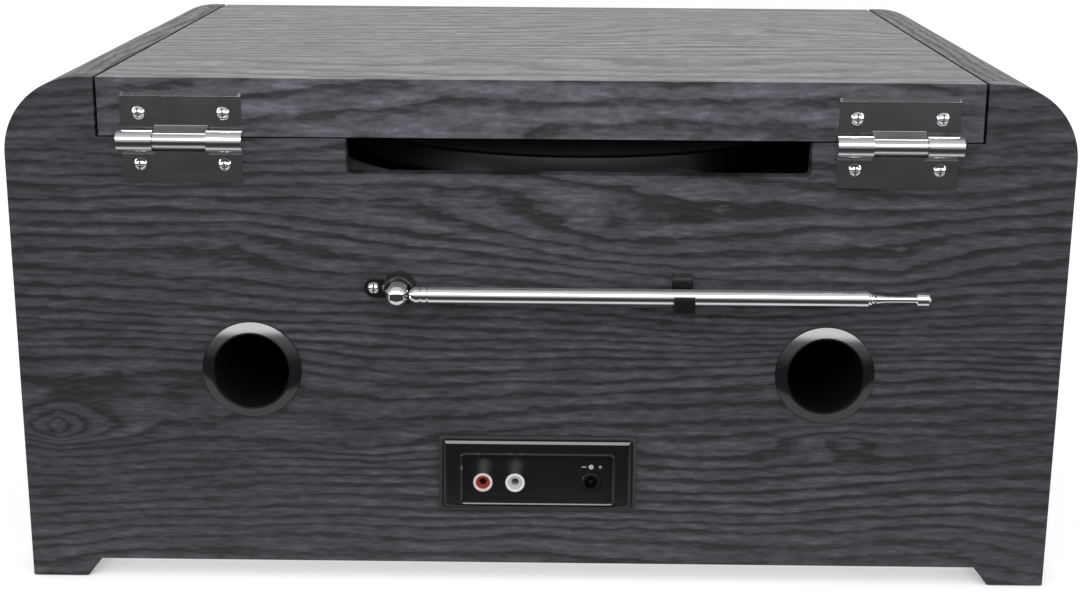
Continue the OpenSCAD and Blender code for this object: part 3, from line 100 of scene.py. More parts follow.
class Net:
    """Adds nodes to a tree. Apart from add, feed and split, each method returns one socket."""

    def __init__(self, tree):
        self.tree = tree

    def add(self, kind, **settings):
        node = self.tree.nodes.new("ShaderNode" + kind)
        for key, value in settings.items():
            setattr(node, key, value)
        return node

    def feed(self, socket, value):
        if isinstance(value, bpy.types.NodeSocket):
            self.tree.links.new(value, socket)
        else:
            socket.default_value = value

    def math(self, operation, *values):
        node = self.add("Math", operation=operation)
        for socket, value in zip(node.inputs, values):
            self.feed(socket, value)
        return node.outputs[0]

    def total(self, *values):
        result = values[0]
        for value in values[1:]:
            result = self.math("ADD", result, value)
        return result

    def scaled(self, vector, scale, move=(0, 0, 0)):
        node = self.add("Mapping")
        self.feed(node.inputs["Vector"], vector)
        node.inputs["Scale"].default_value = scale
        node.inputs["Location"].default_value = move
        return node.outputs[0]

    def split(self, vector):
        node = self.add("SeparateXYZ")
        self.feed(node.inputs[0], vector)
        return node.outputs

    def noise(self, vector, scale=1.0, detail=2.0, rough=0.5):
        node = self.add("TexNoise")
        self.feed(node.inputs["Vector"], vector)
        node.inputs["Scale"].default_value = scale
        node.inputs["Detail"].default_value = detail
        node.inputs["Roughness"].default_value = rough
        return node.outputs["Fac"]

    def ramp(self, value, *stops):
        """Stops are (place, grey) or (place, (r, g, b))."""
        node = self.add("ValToRGB")
        self.feed(node.inputs[0], value)
        elements = node.color_ramp.elements
        while len(elements) < len(stops):
            elements.new(0.5)
        for element, (place, colour) in zip(elements, stops):
            element.position = place
            element.color = (*((colour,) * 3 if isinstance(colour, (int, float)) else colour), 1)
        return node.outputs[0]

    def mix(self, share, a, b):
        """Sockets are found by identifier, because those of each data type share a name."""
        node = self.add("Mix", data_type="RGBA")
        for name, value in (("Factor_Float", share), ("A_Color", a), ("B_Color", b)):
            socket = next(s for s in node.inputs if s.identifier == name)
            self.feed(socket, (*value, 1) if isinstance(value, tuple) else value)
        return next(s for s in node.outputs if s.identifier == "Result_Color")

    def remap(self, value, low, high, to_low, to_high):
        """Moves a range of values to another range, and stops at its ends."""
        node = self.add("MapRange")
        for socket, number in zip(node.inputs, (value, low, high, to_low, to_high)):
            self.feed(socket, number)
        return node.outputs[0]


class Finish(Net):
    """A material: its principled surface, and the place on the object that its patterns read."""

    def __init__(self, name, roughness=0.5, metallic=0.0, ior=1.5, specular=0.5):
        self.material = bpy.data.materials.new(name)
        self.material.use_nodes = True
        super().__init__(self.material.node_tree)
        self.surface = self.tree.nodes["Principled BSDF"]
        self.place = self.add("TexCoord").outputs["Object"]
        self.set("Roughness", roughness)
        self.set("Metallic", metallic)
        self.set("IOR", ior)
        self.set("Specular IOR Level", specular)

    def set(self, name, value):
        self.feed(self.surface.inputs[name], (*value, 1) if isinstance(value, tuple) else value)

    def bump(self, height, depth, strength=1.0):
        """Depth is in metres, for a height from 0 to 1."""
        node = self.add("Bump")
        node.inputs["Distance"].default_value = depth
        node.inputs["Strength"].default_value = strength
        self.feed(node.inputs["Height"], height)
        self.feed(self.surface.inputs["Normal"], node.outputs[0])


# ---- finishes ----

# Figure in the veneer: place along and across the grain, half length, half height, and the
# number of rings that it adds. Enough rings on a small height close into an eye.
BACK_FIGURES = (
    (0.2050, 0.0685, 0.0260, 0.0085, 4.6),
    (0.1500, 0.0800, 0.0600, 0.0110, 1.5),
    (-0.1320, 0.0655, 0.0300, 0.0060, -2.0),
    (0.0700, 0.0620, 0.0900, 0.0120, 1.8),
    (-0.0300, 0.1560, 0.0600, 0.0120, 2.2),
    (0.1250, 0.1520, 0.0500, 0.0100, -1.5),
    (-0.1500, 0.1400, 0.0700, 0.0140, 1.6),
    (0.0100, 0.0200, 0.1200, 0.0100, -1.2),
)
LID_FIGURES = (
    (0.0400, 0.2640, 0.1100, 0.0180, 2.4),
    (-0.0900, 0.1900, 0.0900, 0.0160, 2.2),
    (0.0900, 0.1400, 0.1200, 0.0200, -1.8),
)
# Stretches of narrow rings: place across the grain, half height and added rings
BACK_BANDS = ((0.1080, 0.0120, 1.8),)
LID_BANDS = ((0.2200, 0.0100, 1.0),)
SIDE_BANDS = ((0.1200, 0.0300, 2.0),)
FRONT_BANDS = ((0.0600, 0.0200, 2.0),)
RINGS_PER_METRE = 150.0
# Waves in the rings: frequency along and across the grain, seed, detail, and the rings' shift
RING_WAVES = ((3.2, 9.0, 0.4, 1.0, 10.0), (13.0, 55.0, 3.1, 2.0, 1.7), (90.0, 420.0, 5.3, 2.0, 0.50))
# The light wood of one ring, from its start to its end
EARLY_WOOD = ((0.0, 0.0), (0.08, 0.75), (0.30, 1.0), (0.62, 0.80), (0.82, 0.22), (1.0, 0.0))
# Stain: grain and share of the base colour, and the tint of each channel
STAIN = ((0.0, 0.08), (0.25, 0.32), (0.55, 0.95), (0.85, 1.6), (1.0, 2.4))
STAIN_TINT = (0.97, 1.0, 1.15)


def oak(name, along, across, figures=(), bands=(), base=0.040, fine=1.0, coat=0.0):
    """Black-stained oak. Growth rings are contour lines drawn out along the grain.

    across gives each axis across the grain with its weight. A weight below 1 widens the rings.
    fine sets how many rings and streaks lie on a length, and coat the share of a clear coat.
    """
    net = Finish(name, roughness=0.42)
    xyz = net.split(net.place)
    u = xyz[along]
    v = net.total(*(net.math("MULTIPLY", xyz[i], weight) for i, weight in across))
    flat = net.add("CombineXYZ")
    net.feed(flat.inputs[0], u)
    net.feed(flat.inputs[1], v)
    plane = flat.outputs[0]

    def streaks(along_grain, across_grain, seed, detail=2.0, rough=0.5):
        scale = (along_grain, across_grain * fine, 1.0)
        return net.noise(net.scaled(plane, scale, (seed, seed * 0.7, 0.0)), detail=detail, rough=rough)

    rings = net.total(
        net.math("MULTIPLY", v, RINGS_PER_METRE * fine),
        *(net.math("MULTIPLY", streaks(*wave), shift) for *wave, shift in RING_WAVES),
    )
    for v0, height, count in bands:
        step = net.math("TANH", net.math("MULTIPLY_ADD", v, 1 / height, -v0 / height))
        rings = net.math("MULTIPLY_ADD", step, count, rings)
    for u0, v0, length, height, count in figures:
        du = net.math("ABSOLUTE", net.math("MULTIPLY_ADD", u, 1 / length, -u0 / length))
        dv = net.math("MULTIPLY_ADD", v, 1 / height, -v0 / height)
        dv_squared = net.math("MULTIPLY", dv, dv)
        fall = net.math("MULTIPLY_ADD", dv_squared, -1.0, net.math("MULTIPLY", du, -1.0))
        rings = net.math("MULTIPLY_ADD", net.math("EXPONENT", fall), count, rings)
    early = net.ramp(net.math("FRACT", rings), *EARLY_WOOD)
    patch = streaks(5.0, 26.0, 7.7, 1.0)
    # The rings are plainer in some patches. Pores and soft streaks lie over them.
    grain = net.total(
        net.math("MULTIPLY", early, net.remap(patch, 0.30, 0.70, 0.34, 0.85)),
        net.remap(patch, 0.30, 0.70, 0.32, 0.02),
        net.remap(streaks(130.0, 620.0, 2.2, 3.0, 0.6), 0.32, 0.68, -0.25, 0.25),
        net.remap(streaks(30.0, 260.0, 4.2), 0.32, 0.68, -0.19, 0.19),
    )
    shades = [(place, tuple(base * share * tint for tint in STAIN_TINT)) for place, share in STAIN]
    net.set("Base Color", net.ramp(grain, *shades))
    net.set("Coat Weight", coat)
    net.set("Coat Roughness", 0.3)
    net.set("Roughness", net.remap(grain, 0.0, 1.0, 0.55, 0.36))
    net.bump(grain, 0.00012, 0.6)
    return net.material


CLOUD_SCALE = 28.0
MOULDED_BLACK = (0.0085, 0.0088, 0.0105)


def shaded(colour, share):
    return tuple(c * share for c in colour)


def grained(name, colour, roughness, depth=0.00003, scale=900.0, spread=0.12, specular=0.5):
    """A moulded, cast or painted surface with a fine random grain."""
    net = Finish(name, roughness, specular=specular)
    grain = net.noise(net.place, scale, 2.0)
    cloud = net.remap(net.noise(net.place, CLOUD_SCALE, 3.0), 0.3, 0.7, 0.0, 1.0)
    net.set("Base Color", net.mix(cloud, shaded(colour, 1 - spread), shaded(colour, 1 + spread)))
    net.set("Roughness", net.remap(grain, 0.3, 0.7, roughness * 0.88, roughness * 1.12))
    net.bump(grain, depth, 0.5)
    return net.material


LINES_ACROSS = 700.0
LINES_ALONG = 12.0


def polished(name, colour, roughness, along=0):
    """Plated metal with faint drawing lines along one axis."""
    net = Finish(name, roughness, 1.0)
    stretch = [LINES_ACROSS] * 3
    stretch[along] = LINES_ALONG
    lines = net.noise(net.scaled(net.place, stretch), detail=3.0)
    smear = net.noise(net.place, 60.0, 2.0)
    dull = net.remap(smear, 0.3, 0.7, 0.0, 1.0)
    net.set("Base Color", net.mix(dull, shaded(colour, 0.94), colour))
    net.set("Roughness", net.remap(net.total(lines, smear), 0.7, 1.3, roughness * 0.7, roughness * 1.4))
    net.bump(lines, 0.000004, 0.4)
    return net.material


def turned(name, colour, roughness, centre, axis=2, pitch=0.0004, metallic=1.0, period=0.0):
    """A surface turned or spun about an axis. A period repeats the centre along X."""
    net = Finish(name, roughness, metallic)
    xyz = net.split(net.place)
    first, second = [i for i in range(3) if i != axis]
    a = net.math("SUBTRACT", xyz[first], centre[first])
    if period:
        a = net.math("WRAP", a, period / 2, -period / 2)
    b = net.math("SUBTRACT", xyz[second], centre[second])
    far = net.math("SQRT", net.total(net.math("MULTIPLY", a, a), net.math("MULTIPLY", b, b)))
    rings = net.noise(net.scaled(far, (1 / pitch, 0, 0)), detail=3.0)
    net.set("Base Color", net.mix(rings, shaded(colour, 0.86), colour))
    net.set("Roughness", net.remap(rings, 0.3, 0.7, roughness * 0.8, roughness * 1.25))
    net.bump(rings, 0.00001, 0.6)
    return net.material


def woven(name, colour, pitch, depth, across=(0, 2)):
    """Cloth with a plain weave in two axes, with painted light on the crowns of its threads and painted
    shade in the hollows between them.
    """
    net = Finish(name, 0.85, specular=0.3)
    net.set("Sheen Weight", 0.1)
    net.set("Sheen Roughness", 0.5)
    xyz = net.split(net.place)
    waves = [net.math("SINE", net.math("MULTIPLY", xyz[i], math.tau / pitch)) for i in across]
    weave = net.math("MULTIPLY_ADD", net.math("MULTIPLY", *waves), 0.5, 0.5)
    lint = net.noise(net.place, 1800.0, 2.0)
    height = net.total(weave, net.math("MULTIPLY", lint, 0.5))
    # Painted light and shade: the colour follows the weave's height, lighter on the crowns and darker
    # in the hollows
    crown = net.remap(height, 0.2, 1.2, 0.0, 1.0)
    net.set("Base Color", net.mix(crown, shaded(colour, 0.45), shaded(colour, 1.25)))
    net.bump(height, depth, 0.8)
    return net.material


CHIP_TONES = ((0.2, (0.15, 0.10, 0.062)), (0.6, (0.27, 0.20, 0.13)), (0.9, (0.36, 0.28, 0.19)))


def chipboard(name):
    """Pressed chips of pale wood under a thin brown coat."""
    net = Finish(name, 0.75)
    cells = net.add("TexVoronoi")
    net.feed(cells.inputs["Vector"], net.scaled(net.place, (150.0, 320.0, 320.0)))
    fibre = net.noise(net.place, 420.0, 3.0)
    chips = net.math("MULTIPLY", cells.outputs["Distance"], 0.7)
    tone = net.total(chips, net.math("MULTIPLY", fibre, 0.5))
    net.set("Base Color", net.ramp(tone, *CHIP_TONES))
    net.bump(tone, 0.0001, 0.5)
    return net.material


def glass(name, tint):
    """Clear acrylic."""
    net = Finish(name, 0.03, ior=1.49)
    net.set("Base Color", tint)
    net.set("Transmission Weight", 1.0)
    smear = net.noise(net.place, 90.0, 2.0)
    net.set("Roughness", net.remap(smear, 0.3, 0.7, 0.01, 0.05))
    return net.material


def circuit(name):
    """Green laminate with the shadows of its tracks."""
    net = Finish(name, 0.4)
    bricks = net.add("TexBrick")
    net.feed(bricks.inputs["Vector"], net.scaled(net.place, (60.0, 60.0, 60.0)))
    bricks.inputs["Mortar Size"].default_value = 0.06
    tone = net.noise(net.place, 500.0, 2.0)
    net.set("Base Color", net.mix(bricks.outputs["Fac"], (0.022, 0.095, 0.042), (0.045, 0.16, 0.075)))
    net.set("Roughness", net.remap(tone, 0.3, 0.7, 0.35, 0.5))
    net.bump(bricks.outputs["Fac"], 0.00005, 0.5)
    return net.material


def make_finishes():
    """One finish per material slot of the record."""
    spindle = mid("spindle")
    knob = mid("function_knob")
    knob_pitch = mid("tuning_knob").x - knob.x
    speaker = mid("speaker_cones")
    return {
        "oak": oak("oak_back", 0, ((2, 1.0),), BACK_FIGURES, BACK_BANDS),
        "board": chipboard("chipboard"),
        "pad": grained("pad_rubber", (0.03, 0.03, 0.031), 0.7, scale=1500.0),
        "lip": grained("lip_satin", (0.022, 0.0225, 0.025), 0.34),
        "hinge": polished("hinge_nickel", (0.74, 0.745, 0.76), 0.10),
        "screw": polished("screw_nickel", (0.86, 0.865, 0.88), 0.12),
        "stay": polished("stay_zinc", (0.62, 0.64, 0.66), 0.28, along=1),
        "black_plastic": grained("black_moulding", MOULDED_BLACK, 0.20, depth=0.000006),
        "antenna_chrome": polished("antenna_chrome", (0.90, 0.905, 0.92), 0.05),
        "socket_metal": polished("socket_nickel", (0.78, 0.77, 0.74), 0.16, along=1),
        "socket_red": grained("socket_red", (0.34, 0.05, 0.038), 0.28),
        "deck_black": grained("deck_moulding", (0.014, 0.0143, 0.016), 0.42),
        "platter_metal": turned("platter_turned", (0.20, 0.205, 0.215), 0.32, spindle),
        "felt": woven("mat_felt", (0.022, 0.022, 0.024), 0.0009, 0.0002, (0, 1)),
        "steel": polished("bright_steel", (0.70, 0.71, 0.73), 0.16, along=2),
        "belt_rubber": grained("belt_rubber", (0.012, 0.012, 0.012), 0.6, scale=2000.0),
        "motor_can": polished("plated_sheet", (0.55, 0.56, 0.58), 0.34, along=2),
        "pulley_brass": polished("turned_brass", (0.80, 0.56, 0.25), 0.2, along=2),
        "arm_silver": polished("arm_anodised", (0.74, 0.75, 0.77), 0.27, along=1),
        "small_black": grained("small_black", (0.018, 0.018, 0.020), 0.36),
        "grille_cloth": woven("grille_cloth", (0.020, 0.0205, 0.023), 0.0012, 0.00035),
        "basket": grained("basket_paint", (0.03, 0.03, 0.032), 0.45),
        "cone": turned("paper_cone", (0.022, 0.022, 0.024), 0.75, speaker, axis=1, pitch=0.001,
                       metallic=0.0),
        "dial_cream": grained("dial_cream", (0.72, 0.66, 0.47), 0.5, spread=0.05),
        "dial_clear": glass("dial_clear", (0.93, 0.96, 0.97)),
        "needle": grained("needle_red", (0.62, 0.06, 0.02), 0.3, spread=0.04),
        "cord_cotton": woven("dial_cord_cotton", (0.55, 0.52, 0.42), 0.0006, 0.0001),
        "knob_metal": turned("knob_spun", (0.72, 0.725, 0.74), 0.24, knob, axis=1, pitch=0.0003,
                             period=knob_pitch),
        "circuit": circuit("circuit_green"),
    }


# ---- pieces ----


def piece(name, mesh, body, slot, *replaced):
    """Puts a mesh in the scene with its slot's finish, riding on a body."""
    obj = bpy.data.objects.new(name, mesh)
    bpy.context.scene.collection.objects.link(obj)
    if not mesh.materials:
        mesh.materials.append(FINISHES[slot])
    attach(obj, body)
    if replaced:
        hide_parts(*replaced)
    return obj


def to_mesh(bm, name, finish=None):
    """Turns a bmesh into a mesh with its own finish, if it has one."""
    mesh = bpy.data.meshes.new(name)
    bm.to_mesh(mesh)
    bm.free()
    if finish:
        mesh.materials.append(finish)
    return mesh


def prism(bm, first, second):
    """Closes two matching outlines into a solid."""
    ends = [[bm.verts.new(point) for point in outline] for outline in (first, second)]
    bm.faces.new(ends[0])
    bm.faces.new(list(reversed(ends[1])))
    for i in range(len(first)):
        j = (i + 1) % len(first)
        bm.faces.new((ends[0][j], ends[0][i], ends[1][i], ends[1][j]))


def face_outwards(bm):
    bmesh.ops.recalc_face_normals(bm, faces=bm.faces)


SHARP_ANGLE = 30
SMOOTH_ANGLE = 32
FLAT_ANGLE = 0.4
MERGE_DISTANCE = 0.001 * MM


def shade(bm, angle=SMOOTH_ANGLE):
    """Smooth faces, with the edges past an angle in degrees kept sharp."""
    limit = math.radians(angle)
    for face in bm.faces:
        face.smooth = True
    for edge in bm.edges:
        edge.smooth = len(edge.link_faces) == 2 and edge.calc_face_angle() < limit


def node_mesh(node):
    """A CAD node's mesh, merged and with its flat faces whole, in a new bmesh."""
    bm = bmesh.new()
    bm.from_mesh(frame["nodes"][node].data)
    bmesh.ops.remove_doubles(bm, verts=bm.verts, dist=MERGE_DISTANCE)
    bmesh.ops.dissolve_limit(bm, angle_limit=math.radians(FLAT_ANGLE), verts=bm.verts, edges=bm.edges)
    return bm


def rounded(bm, width, segments=2, where=None):
    """Rounds the sharp edges of a bmesh. where picks them by their middle."""
    sharp = [
        e for e in bm.edges
        if len(e.link_faces) == 2 and e.calc_face_angle() > math.radians(SHARP_ANGLE)
        and (where is None or where((e.verts[0].co + e.verts[1].co) / 2))
    ]
    bmesh.ops.bevel(bm, geom=sharp, offset=width, segments=segments, profile=0.5,
                    affect="EDGES", clamp_overlap=True)


def softened(node, width, segments=2, where=None, finish=None, prepare=None, angle=SMOOTH_ANGLE):
    """Stands for a node, with its sharp edges rounded. prepare works on the mesh before that."""
    bm = node_mesh(node)
    if prepare:
        prepare(bm)
    rounded(bm, width, segments, where)
    shade(bm, angle)
    name = node + "_finished"
    obj = piece(name, to_mesh(bm, name, finish), BODY_OF[node], SLOT_OF[node], node)
    even = obj.modifiers.new("even_normals", "WEIGHTED_NORMAL")
    even.keep_sharp = True
    return obj


def in_front(node, depth=1.0):
    """Picks edges that lie within a depth, in mm, of a node's front."""
    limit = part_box(node)[0].y + depth * MM
    return lambda p: p.y < limit


def half_of(node, name, side, finish):
    """One of a node's two solids: the one towards +X where side is 1, and towards -X at -1."""
    bm = node_mesh(node)
    centre = mid(node).x
    other = [f for f in bm.faces if (f.calc_center_median().x - centre) * side < 0]
    bmesh.ops.delete(bm, geom=other, context="FACES")
    shade(bm)
    return piece(name, to_mesh(bm, name, finish), BODY_OF[node], SLOT_OF[node], node)


def plates(name, outlines, y, thickness, body, slot, finish):
    """Thin flat marks: each outline, in X and Z, becomes a plate whose outer face is at y."""
    bm = bmesh.new()
    for outline in outlines:
        prism(bm, *([(x, y + depth, z) for x, z in outline] for depth in (0.0, thickness)))
    face_outwards(bm)
    return piece(name, to_mesh(bm, name, finish), body, slot)


def turned_piece(name, profile, places, y, body, slot, finish, replaced=(), steps=96):
    """A closed profile of (radius, height) in mm, turned about Y at each place in X and Z."""
    bm = bmesh.new()
    for x, z in places:
        loops = [
            [bm.verts.new((u, y + h * MM, v)) for u, v in disc(x, z, r * MM, steps)]
            for r, h in profile
        ]
        for first, second in zip(loops, loops[1:] + loops[:1]):
            for i in range(steps):
                j = (i + 1) % steps
                bm.faces.new((first[i], first[j], second[j], second[i]))
    face_outwards(bm)
    shade(bm)
    return piece(name, to_mesh(bm, name, finish), body, slot, *replaced)


def disc(x, z, r, steps=24):
    turns = [math.tau * i / steps for i in range(steps)]
    return [(x + r * math.cos(a), z + r * math.sin(a)) for a in turns]


def bar(x, z, w, h):
    corners = ((-1, -1), (1, -1), (1, 1), (-1, 1))
    return [(x + s * w / 2, z + t * h / 2) for s, t in corners]


# ---- cabinet ----


def dress_cabinet():
    """Rounds the edges of the panels and the lid that a hand or the light would find."""
    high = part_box("back_panel")[1]
    end_x, slot_zone, feet_zone = high.x - 30 * MM, high.z - 70 * MM, 20 * MM

    def at_an_edge(p):
        """On the back's outer face, clear of the holes that other pieces cover."""
        return p.y > high.y - 1 * MM and (abs(p.x) > end_x or p.z > slot_zone or p.z < feet_zone)

    softened("back_panel", 0.9 * MM, where=at_an_edge)
    lid_oak = oak("oak_lid", 0, ((1, 0.6), (2, 1.0)), LID_FIGURES, LID_BANDS,
                  base=0.056, fine=0.7, coat=0.35)
    softened("lid_shell", 0.8 * MM, finish=lid_oak)
    side_oak = oak("oak_side", 1, ((2, 1.0), (0, 1.0)), bands=SIDE_BANDS)
    for node in ("side_panel_left", "side_panel_right"):
        softened(node, 0.5 * MM, finish=side_oak)
    front_oak = oak("oak_front", 0, ((2, 1.0), (1, 1.0)), bands=FRONT_BANDS)
    softened("front_baffle", 0.9 * MM, finish=front_oak, where=in_front("front_baffle"))
    softened("lid_front_lip", 0.7 * MM)


# ---- rear fittings ----

# Width and height of the step round the rear plate, how close to an edge of the plate the step's
# corners lie, and a distance from the edge that the whole sunk panel passes
PLATE_STEP = 1.2 * MM
PLATE_RIM = 3 * MM
PANEL_INSET = 6 * MM
# How far the step's upper and lower corners move in from the plate's edge, and out from the back
STEP_TOP_MOVE = (1.0 * MM, 0.0)
STEP_FOOT_MOVE = (-0.1 * MM, 0.6 * MM)
# Width and depth of the chamfer round the sunk panel
SUNK_CHAMFER = (1.1 * MM, 0.58 * MM)
# The chamfers meet the faces beside them at less than the usual smooth angle
PLATE_SMOOTH_ANGLE = 14
NEAR = 0.1 * MM
FLUSH = 0.01 * MM


def bevel_plate(bm):
    """Turns the stepped edge of the rear plate into a long chamfer, and chamfers its sunk panel."""
    low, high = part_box("rear_plate")
    front = high.y
    middle = (low + high) / 2
    for vert in bm.verts:
        inset_x = high.x - abs(vert.co.x)
        inset_z = (high.z - low.z) / 2 - abs(vert.co.z - middle.z)
        on_step = abs(min(inset_x, inset_z) - PLATE_STEP) <= 0.5 * MM
        if not on_step or vert.co.y < front - PLATE_STEP - NEAR:
            continue
        inwards, outwards = STEP_TOP_MOVE if vert.co.y > front - NEAR else STEP_FOOT_MOVE
        vert.co.y += outwards
        if inset_x < PLATE_RIM:
            vert.co.x -= math.copysign(inwards, vert.co.x)
        if inset_z < PLATE_RIM:
            vert.co.z -= math.copysign(inwards, vert.co.z - middle.z)

    def falls_inwards(face):
        return all(v.co.y < front + FLUSH for v in face.verts) and abs(face.normal.y) < 0.1

    rim = [
        e for e in bm.edges
        if all(v.co.y > front - FLUSH for v in e.verts) and any(map(falls_inwards, e.link_faces))
    ]
    width, depth = SUNK_CHAMFER
    bmesh.ops.bevel(bm, geom=rim, offset=width, segments=1, affect="EDGES", clamp_overlap=False)
    for vert in bm.verts:
        on_chamfer = front - PLATE_STEP < vert.co.y < front - 1.0 * MM
        if on_chamfer and high.x - abs(vert.co.x) > PANEL_INSET:
            vert.co.y = front - depth


LEAF_THICKNESS = 1.5 * MM
# The slope's height, and how much of its vertices' depth below the top is kept under it
LEAF_SLOPE = 1.3 * MM
LEAF_SLOPE_SHARE = 0.2
# The smallest face of a leaf's web, and the range of its normal's Z: these pick the faces that get a
# painted dark reflection
WEB_AREA = 40 * MM * MM
WEB_TILT = (0.4, 0.95)


def slope_top_edge(bm):
    """Leans the top edge of the lid's hinge leaves back, so that it takes the light from above."""
    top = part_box("lid_leaves")[1].z
    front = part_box("case_leaves")[0].y + LEAF_THICKNESS
    for vert in bm.verts:
        if vert.co.z > top - LEAF_SLOPE and abs(vert.co.y - front) < NEAR:
            vert.co.z = top - LEAF_SLOPE - LEAF_SLOPE_SHARE * (top - vert.co.z)


def paint_web_reflection(leaf):
    """Gives the leaves' webs, which lean out to the knuckles, a darker copy of their metal, which
    paints the dark lid's reflection on them.
    """
    leaf.data.materials.append(polished("hinge_web_painted_reflection", (0.20, 0.20, 0.21), 0.3))
    low, high = WEB_TILT
    # Faces leaning up and back get the darker copy of the hinge metal, a painted reflection of the dark
    # lid
    for face in leaf.data.polygons:
        if face.area > WEB_AREA and low < face.normal.z < high and face.normal.y > 0:
            face.material_index = 1


def dress_rear():
    """The fittings of the back, from the connection plate to the marks on it."""
    softened("rear_plate", 0.1 * MM, prepare=bevel_plate, angle=PLATE_SMOOTH_ANGLE)
    dress_ports()
    softened("antenna_base", 0.3 * MM)
    softened("antenna_clip", 0.3 * MM)
    paint_web_reflection(softened("lid_leaves", 0.2 * MM, prepare=slope_top_edge))
    softened("case_leaves", 0.25 * MM)
    dress_sockets()
    clip_lip()
    polarity_mark()


# A phono socket's coloured rim: radius, and height over the shell's end, in mm
SOCKET_RIM = [(3.0, -0.8), (4.1, -0.8), (4.1, -0.15), (3.9, 0.05), (3.3, 0.05), (3.0, -0.2)]


def dress_sockets():
    """The red and the white insert of the phono sockets, and a rim on the end of each shell."""
    half_of("rca_inserts", "socket_insert_red", 1, FINISHES["socket_red"])
    white = grained("socket_white", (0.62, 0.62, 0.62), 0.28, spread=0.04)
    half_of("rca_inserts", "socket_insert_white", -1, white)
    low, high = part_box("rca_shells")
    radius = (high.z - low.z) / 2
    rims = {
        "socket_rim_red": (high.x - radius, (0.74, 0.60, 0.58)),
        "socket_rim_white": (low.x + radius, (0.78, 0.78, 0.79)),
    }
    for name, (x, colour) in rims.items():
        finish = grained(name, colour, 0.3, spread=0.04)
        turned_piece(name, SOCKET_RIM, [(x, low.z + radius)], high.y, "cabinet", "socket_metal",
                     finish, steps=48)


# A port's flange from the back's face out to the bore: radius, and height over the face, in mm
PORT_FLANGE = [
    (21.0, 0.0), (21.0, 0.7), (20.8, 1.05), (20.4, 1.25), (16.9, 3.07), (16.5, 3.2), (16.1, 3.12),
    (15.85, 2.8), (15.75, 2.3),
]
PORT_BORE_RADIUS = 15.75
PORT_TUBE_RADIUS = 17.55


def dress_ports():
    """The tubes with their flanges turned to a cone that leans out to the bore."""
    low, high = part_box("port_tubes")
    radius = (high.z - low.z) / 2
    x = high.x - radius
    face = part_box("back_panel")[1].y
    end = (low.y - face) / MM
    tube = [(PORT_BORE_RADIUS, end), (PORT_TUBE_RADIUS, end), (PORT_TUBE_RADIUS, 0.0)]
    finish = grained("port_moulding", MOULDED_BLACK, 0.14, depth=0.000003, specular=0.8)
    places = [(side * x, low.z + radius) for side in (-1, 1)]
    turned_piece("port_tubes_finished", tube + PORT_FLANGE, places, face, "cabinet", "black_plastic",
                 finish, replaced=("port_tubes",))


# The clip's shelf under the folded tube, and how far the lip reaches over the tube's middle
CLIP_SHELF = 2.6 * MM
LIP_RISE = 1.6 * MM


def clip_lip():
    """The springy outer lip of the clip, which holds the folded tube."""
    low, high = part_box("antenna_clip")
    front, foot, shelf = high.y, low.z + CLIP_SHELF * 0.5, low.z + CLIP_SHELF
    top = mid("antenna_tube_1").z + LIP_RISE
    outline = [
        (front - CLIP_SHELF, foot), (front, foot), (front, top - 0.8 * MM), (front - 0.8 * MM, top),
        (front - 1.5 * MM, top - 0.2 * MM), (front - 1.6 * MM, shelf + 0.8 * MM),
        (front - CLIP_SHELF, shelf),
    ]
    bm = bmesh.new()
    prism(bm, *([(x, y, z) for y, z in outline] for x in (low.x, high.x)))
    face_outwards(bm)
    bmesh.ops.bevel(bm, geom=list(bm.edges), offset=0.2 * MM, segments=2,
                    affect="EDGES", clamp_overlap=True)
    shade(bm)
    piece("clip_lip", to_mesh(bm, "clip_lip"), "cabinet", "black_plastic")


# How far the inlet stands out of the sunk panel, the mark's height over the inlet's middle, its
# lines' width and the length of the plus sign's
INLET_PROUD = 1.2 * MM
MARK_RISE = 6.8 * MM
MARK_LINE = 0.4 * MM
PLUS_LENGTH = 1.6 * MM


def polarity_mark():
    """The usual centre-positive sign above the supply inlet."""
    jack = mid("dc_jack")
    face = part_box("dc_jack")[1].y - INLET_PROUD
    z = jack.z + MARK_RISE
    ink = grained("printed_white", (0.50, 0.50, 0.50), 0.5, spread=0.05)
    dash, plus = jack.x + 3.1 * MM, jack.x - 3.9 * MM
    outlines = [
        bar(dash, z, 2.1 * MM, MARK_LINE),
        bar(plus, z, PLUS_LENGTH, MARK_LINE), bar(plus, z, MARK_LINE, PLUS_LENGTH),
        disc(jack.x, z, 1.05 * MM),
    ]
    plates("polarity_mark", outlines, face + 0.06 * MM, -0.08 * MM, "cabinet", "black_plastic", ink)


# ---- front ----

# A mark's outer face stands proud by this much, and the rest of it is sunk
MARK_PROUD = 0.03 * MM
MARK_THICKNESS = 0.2 * MM
FONT_SIZE_PER_HEIGHT = 1.35
FIGURE_HALF_THICKNESS = 0.05 * MM
FIGURE_CURVE_STEPS = 3


def symbols(name, outlines, y, body, slot, finish):
    """Thin marks on a face turned to -Y."""
    return plates(name, outlines, y - MARK_PROUD, MARK_THICKNESS, body, slot, finish)


def figures(name, labels, y, slot, finish):
    """Plain figures on a face turned to -Y. Each label is its text, X, Z and height."""
    bm = bmesh.new()
    for text, x, z, size in labels:
        curve = bpy.data.curves.new("figure", "FONT")
        curve.body = text
        curve.size = size * FONT_SIZE_PER_HEIGHT
        curve.align_x = "CENTER"
        curve.align_y = "CENTER"
        curve.resolution_u = FIGURE_CURVE_STEPS
        curve.extrude = FIGURE_HALF_THICKNESS
        holder = bpy.data.objects.new("figure", curve)
        mesh = bpy.data.meshes.new_from_object(holder)
        mesh.transform(Matrix.Translation((x, y, z)) @ Matrix.Rotation(math.pi / 2, 4, "X"))
        bm.from_mesh(mesh)
        bpy.data.objects.remove(holder)
        bpy.data.meshes.remove(mesh)
        bpy.data.curves.remove(curve)
    return piece(name, to_mesh(bm, name, finish), "cabinet", slot)


